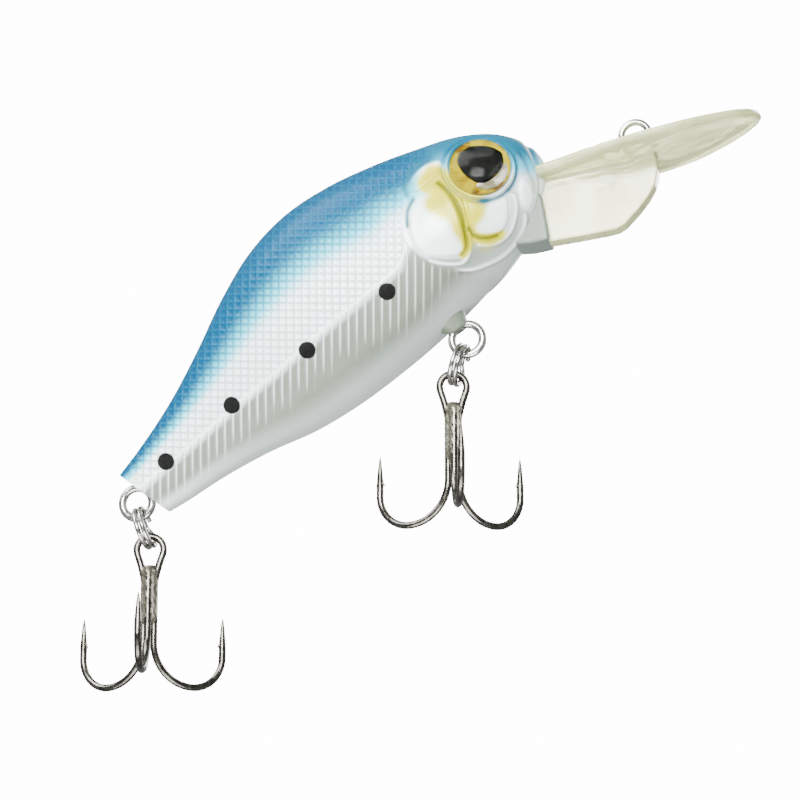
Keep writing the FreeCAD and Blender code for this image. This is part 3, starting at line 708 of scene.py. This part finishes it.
def skin(side, rows=700, columns=300):
    """One half of the body's outer skin, closed at the cut tail. side is 1 for left, -1 for right."""
    angles = even_angles(columns)[None, :]
    start = np.full((1, columns), -1.0)
    for _ in range(8):
        z = skin_point(start, angles)[..., 2]
        start = TAIL_TOP[0] + (TAIL_TOP[1] - z) * (TAIL_FOOT[0] - TAIL_TOP[0]) / (TAIL_TOP[1] - TAIL_FOOT[1])
    run = np.linspace(0, 1, rows)[:, None]
    run = run + 0.035 * np.sin(run * math.pi) * run      # closer rows at the nose
    x = start + (70.98 - start) * run
    points = skin_point(x, np.broadcast_to(angles, x.shape))
    along, down = np.gradient(points, axis=0), np.gradient(points, axis=1)
    normal = np.cross(down, along)
    normal /= np.maximum(np.linalg.norm(normal, axis=-1), 1e-9)[..., None]
    if normal[rows // 2, columns // 2, 1] < 0:
        normal = -normal
    at = Place(points)
    seam = smoothstep(0.0, 0.5, points[..., 1])
    points = points + normal * (skin_relief(at) * seam)[..., None]
    points[:, (0, -1), 1] = 0
    axis = eye_axis()
    rise = (points - EYE_CENTRE) @ axis
    recess = smoothstep(EYE_RADIUS + 0.16, EYE_RADIUS + 0.02, at.eye_r)
    points = points + ((-0.12 - rise) * recess)[..., None] * axis

    cap_rings = 10
    rim = points[0]
    middle = np.array([-0.3, 0.0, 0.3])
    caps = []
    for k in range(1, cap_rings + 1):
        f = 1 - k / cap_rings
        dish = 0.55 * smoothstep(0.96, 0.72, f)
        ring = middle + (rim - middle) * f + np.array([dish, 0, 0.3 * dish])
        caps.append(ring)
    nose = points[-1].mean(0) * np.array([1, 0, 1])
    vertices = np.concatenate([points.reshape(-1, 3), np.concatenate(caps), nose[None]])
    vertices[:, 1] *= side
    faces = grid_faces(rows, columns, flip=side < 0)
    body_count = rows * columns
    cap_quads = grid_faces(cap_rings, columns, flip=side > 0, offset=body_count)
    first = [[j, j + 1, body_count + j + 1, body_count + j] for j in range(columns - 1)]
    cap_quads += first if side < 0 else [f[::-1] for f in first]
    last = (rows - 1) * columns
    tip = len(vertices) - 1
    nose_fan = [[last + j, last + j + 1, tip] for j in range(columns - 1)]
    if side > 0:
        nose_fan = [[b, a, c] for a, b, c in nose_fan]
    word = "left" if side > 0 else "right"
    obj = mesh_object(f"skin_{word}", to_row(vertices), faces + nose_fan + cap_quads)
    extra = cap_rings * columns + 1
    for name, values in skin_paint(at).items():
        fill = FAR if name == "spot" else 0.0
        point_attribute(obj, name, np.concatenate([values.ravel(), np.full(extra, fill)]))
    finish_piece(obj, "lure_body", "painted_shell", PAINT, f"body_shell_{word}")
    obj.data.materials.append(BARE)
    for polygon in obj.data.polygons[len(faces) + len(nose_fan):]:
        polygon.material_index = 1
    return obj


skin(1)
skin(-1)


# ---- rounded solids: chin collar, belly boss, lip ----
def remeshed(obj, voxel, smooth_steps):
    """Fuses a piece's overlapping parts into one surface and softens its edges."""
    bpy.context.view_layer.objects.active = obj
    remesh = obj.modifiers.new("fuse", "REMESH")
    remesh.mode, remesh.voxel_size, remesh.use_smooth_shade = "VOXEL", voxel * MM, True
    soften = obj.modifiers.new("soften", "SMOOTH")
    soften.factor, soften.iterations = 0.5, smooth_steps
    shape = bpy.data.meshes.new_from_object(obj.evaluated_get(bpy.context.evaluated_depsgraph_get()))
    obj.modifiers.clear()
    obj.data = shape
    obj.data.materials.clear()
    obj.data.shade_smooth()
    return obj


def prism_y(name, outline, half):
    """A side outline in the body frame, given thickness across the mirror plane."""
    n = len(outline)
    near = [(x, -half, z) for x, z in outline]
    far = [(x, half, z) for x, z in outline]
    faces = [list(range(n)), list(range(2 * n - 1, n - 1, -1))]
    faces += [[(i + 1) % n, i, n + i, n + (i + 1) % n] for i in range(n)]
    return mesh_object(name, to_row(np.array(near + far)), faces, smooth=False)


def plain_paint(obj, **amounts):
    """Paint amounts for a piece outside the skin's pattern; any that isn't given is 0."""
    count = len(obj.data.vertices)
    for name in PAINT_AMOUNTS:
        point_attribute(obj, name, np.full(count, amounts.get(name, 0.0)))
    point_attribute(obj, "spot", np.full(count, FAR))


def chin_collar():
    outline = [
        (59.8, 2.0), (60.9, -3.8), (62.6, -5.0), (64.95, -6.1), (65.75, -4.6), (66.8, -2.4), (67.8, -0.2),
        (66.2, 4.0),
    ]
    collar = remeshed(prism_y("chin_collar", outline, half=2.9), voxel=0.16, smooth_steps=26)
    plain_paint(collar, belly=1.0, shade=0.5)
    return finish_piece(collar, "lure_body", "painted_shell", PAINT)


def belly_boss(turns=56):
    """A turned boss round the front hanger's neck, flaring aft into the belly."""
    profile = smooth_curve([                                # (height, radius), downwards
        (-5.4, 2.2), (-6.3, 2.0), (-6.8, 1.78), (-7.2, 1.6), (-7.6, 1.46), (-7.9, 1.36), (-8.06, 1.2),
        (-8.12, 0.9), (-8.12, 0.4),
    ], 5)
    a = np.arange(turns) * 2 * math.pi / turns
    rings = []
    for z, r in profile:
        aft = 1 + 0.55 * max(r - 1.2, 0) * smoothstep(0.2, -0.9, np.cos(a))
        rings.append(np.stack([BELLY_EYE[0] + r * np.cos(a) * aft, r * np.sin(a), np.full(turns, z)], -1))
    faces = grid_faces(len(rings), turns, wrap=True, flip=True)
    boss = mesh_object("belly_boss", to_row(np.concatenate(rings)), faces)
    plain_paint(boss, belly=1.0)
    return finish_piece(boss, "lure_body", "painted_shell", PAINT)


chin_collar()
belly_boss()

# Lip: (x, middle of the plate, its thickness, half width)
LIP_STATIONS = np.array([
    (62.0, 5.3, 1.7, 3.6), (66.0, 3.7, 1.9, 3.9), (70.0, 2.1, 1.9, 4.4), (73.0, 0.7, 1.9, 5.3),
    (76.0, -0.75, 1.9, 6.8), (79.0, -2.15, 1.85, 8.2), (82.0, -3.45, 1.8, 8.75), (85.0, -4.65, 1.75, 8.75),
    (89.0, -6.05, 1.6, 7.95), (93.0, -7.35, 1.4, 6.25), (95.5, -8.1, 1.25, 4.55), (97.1, -8.55, 1.1, 2.7),
    (97.95, -8.8, 0.95, 0.9),
])
WEB_OUTLINE = [
    (61.8, 4.5), (61.8, -3.3), (64.8, -5.95), (68.4, -7.9), (72.0, -9.75), (73.2, -10.25), (74.4, -10.4),
    (77.0, -9.85), (79.2, -9.2), (80.9, -8.4), (82.3, -7.1), (83.2, -5.5), (83.6, -4.3), (82.7, -3.2),
]


def lip_plate():
    """The spoon-dished plate, with a raised heel step where the blade begins."""
    steps, columns = 90, 41
    x = np.linspace(LIP_STATIONS[0, 0], LIP_STATIONS[-1, 0], steps)
    t = (x - x[0]) / (x[-1] - x[0])
    x = x[0] + (x[-1] - x[0]) * np.sin(t * math.pi / 2) ** 1.15
    middle, thick, half = (np.interp(x, LIP_STATIONS[:, 0], LIP_STATIONS[:, k]) for k in (1, 2, 3))
    for values in (middle, thick, half):
        values[2:-2] = np.convolve(values, np.ones(5) / 5, "valid")
    w = np.sin(np.linspace(-math.pi / 2, math.pi / 2, columns))[None, :]
    blade = smoothstep(76.0, 84.0, x)[:, None]
    dish = -0.45 * blade * (1 - w**2) * np.sin(math.pi * np.clip((x[:, None] - 76) / 22, 0, 1)) ** 0.6
    heel_x = x[:, None] + 0.045 * (w * half[:, None]) ** 2
    heel = 0.28 * smoothstep(78.6, 77.9, heel_x) + 0.22 * bell(heel_x - 80.2, 0.45)
    edge = np.sqrt(np.clip(1 - np.abs(w) ** 8, 0, 1))
    y = w * half[:, None]
    upper = middle[:, None] + dish + (thick[:, None] / 2 + heel * 0.5) * edge
    spoon = np.hypot((x[:, None] - 88.2) / 8.2, y / 6.2)
    hollow = 0.55 * smoothstep(1.04, 0.70, spoon) - 0.16 * bell(spoon - 1.12, 0.10)
    lower = middle[:, None] + dish * 0.7 - thick[:, None] / 2 * edge + hollow * edge
    xs = np.broadcast_to(x[:, None], y.shape)
    rings = np.concatenate([np.stack([xs, y, upper], -1), np.stack([xs, y, lower], -1)[:, ::-1]], 1)
    count = rings.shape[1]
    faces = grid_faces(steps, count, wrap=True) + end_caps(steps, count)
    return mesh_object("lip_plate", to_row(rings.reshape(-1, 3)), faces)


def diving_lip():
    web = prism_y("lip_web", WEB_OUTLINE, half=1.55)
    lip = remeshed(join("diving_lip_clear", [lip_plate(), web]), voxel=0.17, smooth_steps=9)
    return finish_piece(lip, "lure_body", "clear_lip", LIP, "diving_lip")


diving_lip()


# ---- eyes ----
def eye_frame(side):
    """Centre of the recess, outward way, and the two ways across it, forward and up."""
    centre = EYE_CENTRE * np.array([1, side, 1])
    out = eye_axis() * np.array([1, side, 1])
    forward = np.array([1.0, 0, 0]) - out * out[0]
    forward /= np.linalg.norm(forward)
    up = np.array([0, 0, 1.0]) - out * out[2]
    up -= forward * (up @ forward)
    return centre, out, forward, up / np.linalg.norm(up)


# Painted reflection of the film's faceted foil round the eye: (degrees from forward towards the back,
# brightness).
FACET_REFLECTIONS = [
    (20, 0.85), (72, 0.90), (78, 0.20), (108, 0.10), (114, 1.0), (150, 0.90), (156, 0.60), (196, 0.45),
    (204, 1.0), (216, 0.95), (222, 0.30), (262, 0.45), (268, 0.15), (300, 0.40), (306, 0.75),
]
PUPIL_OUTLINE = [
    (-1.71, 2.81), (-0.7, 3.3), (0.5, 3.3), (1.65, 2.72), (2.71, 1.84), (3.50, 0.30), (2.98, -1.05),
    (2.4, -1.6), (1.26, -2.08), (-0.23, -2.34), (-1.18, -2.04), (-1.85, -1.2), (-2.26, 0.38), (-2.15, 2.1),
]
SILVER_OUTLINE = [
    (2.89, -1.3), (2.87, -2.35), (2.04, -3.15), (1.2, -3.5), (0.2, -3.65), (-0.98, -3.35), (-1.91, -2.3),
    (-1.70, -1.8), (-0.79, -2.2), (0.39, -2.39), (1.70, -2.01),
]
FILM_TOP, PUPIL_TOP, SILVER_TOP = 0.09, 0.135, 0.122      # above the recess's floor
LENS_FOOT, LENS_EDGE, LENS_CROWN = 0.16, 0.60, 1.5


def film_plate(name, outline, side, low, high):
    """A thin printed plate on the eye's film, from an outline in its plane."""
    centre, out, forward, up = eye_frame(side)
    rim = smooth_curve(outline, 10, closed=True)
    middle = rim.mean(0)
    rings = [middle + (rim - middle) * f for f in (1.0, 1.0, 0.66, 0.33)]
    heights = (low, high, high, high)
    vertices = [
        centre + forward * a + up * b + out * h for ring, h in zip(rings, heights) for a, b in ring
    ]
    vertices.append(centre + forward * middle[0] + up * middle[1] + out * high)
    n = len(rim)
    faces = grid_faces(4, n, wrap=True, flip=side > 0)
    fan = [[3 * n + i, 3 * n + (i + 1) % n, 4 * n] for i in range(n)]
    faces += [f[::-1] for f in fan] if side > 0 else fan
    return mesh_object(name, to_row(np.array(vertices)), faces)


def turned(name, profile, side, turns=96):
    """A solid of revolution on the eye's axis. profile is (radius, height), from the axis to the axis."""
    centre, out, forward, up = eye_frame(side)
    a = np.arange(turns) * 2 * math.pi / turns
    ring = np.cos(a)[:, None] * forward + np.sin(a)[:, None] * up
    rows = [centre + ring * r + out * h for r, h in profile]
    faces = grid_faces(len(rows), turns, wrap=True, flip=side > 0)
    return mesh_object(name, to_row(np.concatenate(rows)), faces)


def eye_film(side, word, r):
    """The gold foil, faintly rippled, with painted reflection making its facets lighter and darker round it.
    """
    ripples = [(r - 0.25 * k, FILM_TOP + 0.01 + 0.012 * math.sin(k * 1.3)) for k in range(1, 16)]
    profile = [(0.01, 0.0), (r, 0.0), (r, FILM_TOP)] + ripples + [(0.01, FILM_TOP + 0.01)]
    turns = 96
    film = turned(f"eye_film_{word}", profile, side, turns)
    reflected_brightness = np.interp(np.arange(turns) * 360 / turns, *zip(*FACET_REFLECTIONS), period=360)
    point_attribute(film, "foil_reflection", np.tile(reflected_brightness, len(profile)))
    finish_piece(film, "lure_body", "eye_foil", GOLD_FOIL, f"eye_foil_{word}")


def eye_dome(side, word, r):
    """The clear cap: a short upright edge under part of a ball."""
    ball = (r * r + LENS_CROWN**2) / (2 * LENS_CROWN)
    profile = [(0.01, LENS_FOOT), (r - 0.08, LENS_FOOT), (r, LENS_FOOT + 0.06), (r, LENS_EDGE - 0.05)]
    for k in range(26):
        a = math.asin(r / ball) * (1 - k / 25)
        radius = max(ball * math.sin(a), 0.01) * (1 if k else 0.995)
        profile.append((radius, LENS_EDGE + LENS_CROWN - ball + ball * math.cos(a)))
    lens = turned(f"eye_dome_{word}", profile, side)
    finish_piece(lens, "lure_body", "eye_lens", LENS, f"eye_lens_{word}")


def eye(side):
    word = "left" if side > 0 else "right"
    r = EYE_RADIUS - 0.05
    eye_film(side, word, r)
    pupil = film_plate(f"eye_pupil_{word}", PUPIL_OUTLINE, side, FILM_TOP, PUPIL_TOP)
    finish_piece(pupil, "lure_body", "eye_foil", PUPIL)
    silver = film_plate(f"eye_silver_{word}", SILVER_OUTLINE, side, FILM_TOP, SILVER_TOP)
    # Painted reflection streaks across the silver print.
    reflection_streaks = 0.5 + 0.5 * np.sin(np.arange(len(silver.data.vertices)) * 0.11)
    point_attribute(silver, "foil_reflection", reflection_streaks)
    finish_piece(silver, "lure_body", "eye_foil", SILVER_FOIL)
    eye_dome(side, word, r)


eye(1)
eye(-1)


# ---- wires of the body ----
X, _, Z = np.eye(3)


def loop_tube(name, centre, radius, wire):
    ring = dense_arc(centre, 0, 360, radius, X, Z, 97)[:-1]
    return tube(name, to_row(ring), wire * MM, 24, closed=True)


def hanger(name, eye_at, anchor):
    way = (anchor - eye_at) / np.linalg.norm(anchor - eye_at)
    neck = np.linspace(eye_at + way * HANGER_LOOP, anchor - way * ANCHOR_LOOP, 30)
    pieces = [
        loop_tube("outer", eye_at, HANGER_LOOP, HANGER_WIRE),
        loop_tube("inner", anchor, ANCHOR_LOOP, HANGER_WIRE),
        tube("neck", to_row(neck), HANGER_WIRE * 0.99 * MM, 24),
    ]
    obj = join(f"{name}_eyelet", pieces)
    return finish_piece(obj, "lure_body", "eyelet_wire", NICKEL, name)


def line_tie():
    foot = TIE_EYE - Z * TIE_LOOP
    way = np.array([-0.80, 0, -0.20]) / math.hypot(0.80, 0.20)
    stem = np.linspace(foot, foot + way * 7.0, 30)
    pieces = [
        loop_tube("loop", TIE_EYE, TIE_LOOP, TIE_WIRE), tube("stem", to_row(stem), TIE_WIRE * 0.99 * MM, 24),
    ]
    return finish_piece(join("line_tie_eye", pieces), "lure_body", "eyelet_wire", NICKEL, "line_tie_wire")


hanger("belly_hanger_wire", BELLY_EYE, BELLY_ANCHOR)
hanger("tail_hanger_wire", TAIL_EYE, TAIL_ANCHOR)
line_tie()


# ---- split rings and trebles, in the row frame ----
def turn(points, angle, first, second):
    """Turns points in the plane of two axes, from the first axis towards the second."""
    out = np.array(points)
    c, s = math.cos(angle), math.sin(angle)
    out[:, first] = points[:, first] * c - points[:, second] * s
    out[:, second] = points[:, first] * s + points[:, second] * c
    return out


def split_ring(name, top, lean, body):
    """One wire wound twice, with the short jog where it passes from one coil to the other."""
    middle, jog, lead = math.radians(95), math.radians(24), math.radians(8)
    low, high = middle + lead + jog - 2 * math.pi, middle - jog - lead + 2 * math.pi
    a = np.linspace(low, high, 260)
    t = smoothstep(middle - jog, middle + jog, a)
    x = RING_PITCH * (t - 0.5)
    path = np.stack([x, RING_RADIUS * np.sin(a), RING_RADIUS * (np.cos(a) - 1)], -1)
    ends = np.minimum(a - low, high - a) * RING_RADIUS
    radii = RING_WIRE * (0.80 + 0.20 * smoothstep(0.0, 0.22, ends))
    obj = tube(f"{name}_coils", (turn(path, lean, 0, 2) + top) * MM, radii * MM, 20)
    return finish_piece(obj, body, "split_ring_steel", RING_STEEL, name)


def hook_path(azimuth):
    """Shank foot, bend and limb of one hook as a polyline, and its needle as another."""
    radial = np.array([math.cos(azimuth), math.sin(azimuth), 0])
    r1 = SHANK_OFFSET + SHANK_BEND_RADIUS
    r2 = r1 + POINT_BEND_RADIUS
    first = dense_arc(radial * r1 + Z * SHANK_BEND_RADIUS, 180, 270, SHANK_BEND_RADIUS, radial, Z, 40)
    second = dense_arc(radial * r1 + Z * POINT_BEND_RADIUS, 270, 360, POINT_BEND_RADIUS, radial, Z, 34)[1:]
    limb_top = POINT_BEND_RADIUS + HOOK_LIMB
    limb = np.linspace(radial * r2 + Z * POINT_BEND_RADIUS, radial * r2 + Z * limb_top, 8)[1:]
    needle = np.linspace(radial * r2 + Z * limb_top, radial * r2 + Z * (limb_top + POINT_LENGTH), 26)[1:]
    return np.concatenate([first, second, limb]), needle, radial


def needle_radii(count):
    t = np.linspace(0, 1, count)
    return HOOK_WIRE * (1 - t) ** 0.62 * 0.96 + 0.03


def barb(radial):
    """A sliver cut up from the wire on the point's inner side."""
    r2 = SHANK_OFFSET + SHANK_BEND_RADIUS + POINT_BEND_RADIUS
    base = POINT_BEND_RADIUS + HOOK_LIMB
    across = np.cross(Z, radial)
    centre = radial * r2
    spine = np.array([
        centre - radial * 0.20 + Z * (base + 1.7), centre - radial * 0.42 + Z * (base + 1.0),
        centre - radial * 0.62 + Z * (base + 0.45), centre - radial * (HOOK_WIRE + 0.34) + Z * (base + 0.05),
    ])
    root = centre - radial * 0.24 + Z * (base + 0.1)
    widths = (0.06, 0.15, 0.14, 0.02)
    vertices = []
    for p, w in zip(spine, widths):
        inner = p * 0.35 + root * 0.65 if w > 0.05 else p + radial * 0.10 + Z * 0.04
        vertices += [p + across * w, p - across * w, inner - across * w, inner + across * w]
    faces = grid_faces(4, 4, wrap=True) + [[3, 2, 1, 0], [12, 13, 14, 15]]
    return np.array(vertices), faces


def double_hook_path():
    """Point to point over the eye, with the radius at each place."""
    plane_y, near_x = SHANK_OFFSET * 0.5, SHANK_OFFSET * math.cos(math.radians(30))
    top = np.array([0, plane_y, SHANK_LENGTH + EYE_HEIGHT])
    halves = []
    for side, azimuth in ((1, 30), (-1, 150)):
        bend, needle, radial = hook_path(math.radians(azimuth))
        shank_top = np.array([side * near_x, plane_y, SHANK_LENGTH - 2.2])
        shank = np.linspace(bend[0], shank_top, 40)[:-1]
        spread = math.radians(18)
        join_at = top + EYE_LOOP * np.array([side * math.cos(spread), 0, -math.sin(spread)])
        waist = np.array([side * (near_x + 0.46), plane_y, SHANK_LENGTH])
        lead = join_at + 2.4 * np.array([side * math.sin(spread), 0, math.cos(spread)])
        flank = smooth_curve([shank_top - Z * 2.2, shank_top, waist, join_at, lead], 14)[14:42]
        points = np.concatenate([needle[::-1], bend[::-1][:-1], shank[:-1], flank])
        radii = np.full(len(points), HOOK_WIRE)
        radii[:len(needle)] = needle_radii(len(needle))[::-1]
        halves.append((points, radii))
    over = dense_arc(top, -18, 198, EYE_LOOP, X, Z, 60)[1:-1]
    path = np.concatenate([halves[0][0], over, halves[1][0][::-1]])
    radii = np.concatenate([halves[0][1], np.full(len(over), HOOK_WIRE), halves[1][1][::-1]])
    return path, radii


def single_hook_path():
    bend, needle, radial = hook_path(math.radians(-90))
    head = np.array([0, -SHANK_OFFSET, SHANK_LENGTH - SINGLE_RAISE - 0.3])
    shank = np.linspace(head, bend[0], 60)[:-1]
    path = np.concatenate([shank, bend, needle])
    radii = np.full(len(path), HOOK_WIRE)
    drop = head[2] - shank[:, 2]
    radii[:len(shank)] = HOOK_WIRE * np.sqrt(np.clip(drop / 0.9, 0.02, 1))
    radii[-len(needle):] = needle_radii(len(needle))
    return path + Z * SINGLE_RAISE, radii


def braze_shape():
    """Solder drawn in between the three shank wires, thinning out at both ends."""
    rows, turns = 90, 72
    z = np.linspace(BRAZE_FOOT - 1.6, SHANK_LENGTH + 0.15, rows)[:, None]
    a = np.arange(turns) * 2 * math.pi / turns
    fill = smoothstep(BRAZE_FOOT - 1.6, BRAZE_FOOT + 0.6, z)
    fill = fill * smoothstep(SHANK_LENGTH + 0.3, SHANK_LENGTH - 0.9, z)
    lobes = np.cos(1.5 * (a - math.radians(30))) ** 2
    ripple = 0.03 * np.sin(5 * a + 1.9 * z) * np.sin(2.3 * z + a)
    r = 0.30 + 0.50 * fill + (0.12 + 0.38 * fill) * lobes + ripple * fill
    r = r + 0.30 * smoothstep(SHANK_LENGTH - 1.6, SHANK_LENGTH, z) * np.abs(np.cos(a))
    rings = np.stack([r * np.cos(a), r * np.sin(a), np.broadcast_to(z, r.shape)], -1)
    return rings.reshape(-1, 3), grid_faces(rows, turns, wrap=True) + end_caps(rows, turns)


def treble(end, eye_top, body):
    drop = SHANK_LENGTH + EYE_HEIGHT + EYE_LOOP
    shift = np.array([0, -SHANK_OFFSET * 0.5, -drop])

    def placed(points):
        return (turn(np.asarray(points) + shift, TREBLE_TWIST[end], 0, 1) + eye_top) * MM

    def barbed(name, path, radii, azimuths):
        parts = [tube("wire", placed(path), radii * MM, 22)]
        for azimuth in azimuths:
            radial = np.array([math.cos(math.radians(azimuth)), math.sin(math.radians(azimuth)), 0])
            vertices, faces = barb(radial)
            vertices = vertices + Z * (SINGLE_RAISE if azimuth < 0 else 0)
            parts.append(mesh_object("barb", placed(vertices), faces))
        return join(name, parts)

    node = f"{end}_treble"
    double = barbed(f"{node}_two_points", *double_hook_path(), (30, 150))
    finish_piece(double, body, "hook_steel", HOOK_STEEL, f"{node}_double_hook")
    single = barbed(f"{node}_one_point", *single_hook_path(), (-90,))
    finish_piece(single, body, "hook_steel", HOOK_STEEL, f"{node}_single_hook")
    vertices, faces = braze_shape()
    solder = mesh_object(f"{node}_solder", placed(vertices), faces)
    finish_piece(solder, body, "braze", BRAZE, f"{node}_braze")


def chain(end, eyelet, side):
    """The split ring and treble under an eyelet. side is 1 where the ring leans forward, -1 aft."""
    lean = RING_LEAN * side
    down = np.array([math.sin(lean), 0, -math.cos(lean)])
    at = to_row(eyelet)[0] / MM
    top = at + down * RING_DROP
    split_ring(f"{end}_split_ring", top, lean, f"{end}_ring")
    treble(end, top + down * 2 * RING_RADIUS + Z * EYE_SLACK, f"{end}_treble")


chain("front", BELLY_EYE, -1)
chain("rear", TAIL_EYE, 1)

BALLS = (
    "front_ballast_ball", "rear_ballast_ball", "rattle_ball_lower", "rattle_ball_middle", "rattle_ball_upper",
)
for node in BALLS:
    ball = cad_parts[node]
    ball.data.materials.clear()
    ball.data.materials.append(BALLAST)
    ball.data.shade_smooth()


# ---- stage, light and camera ----
FLOOR, CEILING, WALL_RADIUS = -0.62, 2.4, 2.2        # metres, as everything below
LURE_MIDDLE = (-0.033, 0.0, -0.035)
CAMERA_TARGET, CAMERA_DISTANCE, CAMERA_LENS = (-0.03286, 0.0, -0.03548), 0.378, 125.0
CAMERA_AZIMUTH, CAMERA_ELEVATION = math.radians(12.0), math.radians(-13.0)


def stage_material(name, low, high, glow):
    m = Nodes(name)
    tone = m.mix(m.noise(6, 3), low, high)
    m.set(Base_Color=tone, Roughness=m.fit(m.noise(40, 2), 0.3, 0.7, 0.6, 0.8, False))
    if glow:
        m.set(Emission_Color=(1, 1, 1, 1), Emission_Strength=glow)
    return m.material


def panel(name, vertices, faces, material, through=False):
    """A stage surface seen by the camera; through also lets it show behind clear pieces."""
    obj = mesh_object(name, vertices, faces)
    obj.data.materials.append(material)
    obj.visible_diffuse = obj.visible_glossy = obj.visible_shadow = False
    obj.visible_transmission = through
    return obj


def stage_ring(start_deg, end_deg, count, height):
    """Points on the stage's edge between two directions, counted from +X towards +Y."""
    a = np.radians(np.linspace(start_deg, end_deg, count))
    return np.stack([WALL_RADIUS * np.cos(a), WALL_RADIUS * np.sin(a), np.full(count, height)], -1)


def wall(name, start_deg, end_deg, material, through, count=49):
    """Part of the round backdrop."""
    rings = [stage_ring(start_deg, end_deg, count, height) for height in (FLOOR, CEILING)]
    return panel(name, np.concatenate(rings), grid_faces(2, count), material, through)


FLOOR_PAINT = stage_material("floor", (0.86, 0.86, 0.85), (0.90, 0.90, 0.89), 1.6)
panel("floor", stage_ring(0, 355, 72, FLOOR), [list(range(72))], FLOOR_PAINT)
WALL = stage_material("backdrop", (0.9, 0.9, 0.9), (0.93, 0.93, 0.93), 14.0)
wall("backdrop_behind", 78.0, 126.0, WALL, True)
wall("backdrop_round", 126.0, 438.0, WALL, False)


def softbox(name, place, width, height, power):
    """A rectangular lamp that faces the lure."""
    lamp = bpy.data.lights.new(name, "AREA")
    lamp.shape, lamp.size, lamp.size_y, lamp.energy = "RECTANGLE", width, height, power
    obj = bpy.data.objects.new(name, lamp)
    obj.location = place
    obj.rotation_euler = (Vector(LURE_MIDDLE) - Vector(place)).to_track_quat("-Z", "Y").to_euler()
    bpy.context.scene.collection.objects.link(obj)


softbox("front", (0.02, -0.78, 0.14), 0.42, 0.30, 21.0)
softbox("top_left", (-0.42, -0.34, 0.50), 0.60, 0.50, 17.0)
softbox("under", (-0.02, -0.34, -0.50), 0.70, 0.40, 9.5)
softbox("back", (0.30, 0.60, 0.30), 0.6, 0.5, 9.0)

world = bpy.data.worlds.new("studio")
bpy.context.scene.world = world
world.use_nodes = True
world.node_tree.nodes["Background"].inputs["Color"].default_value = (0.86, 0.88, 0.90, 1)
world.node_tree.nodes["Background"].inputs["Strength"].default_value = 0.55


def camera():
    data = bpy.data.cameras.new("camera")
    data.lens, data.clip_start, data.clip_end = CAMERA_LENS, 0.01, 10.0
    obj = bpy.data.objects.new("camera", data)
    level, rise = math.cos(CAMERA_ELEVATION), math.sin(CAMERA_ELEVATION)
    back = Vector((math.sin(CAMERA_AZIMUTH) * level, -math.cos(CAMERA_AZIMUTH) * level, rise))
    obj.location = Vector(CAMERA_TARGET) + back * CAMERA_DISTANCE
    obj.rotation_euler = (-back).to_track_quat("-Z", "Y").to_euler()
    bpy.context.scene.collection.objects.link(obj)
    bpy.context.scene.camera = obj


camera()
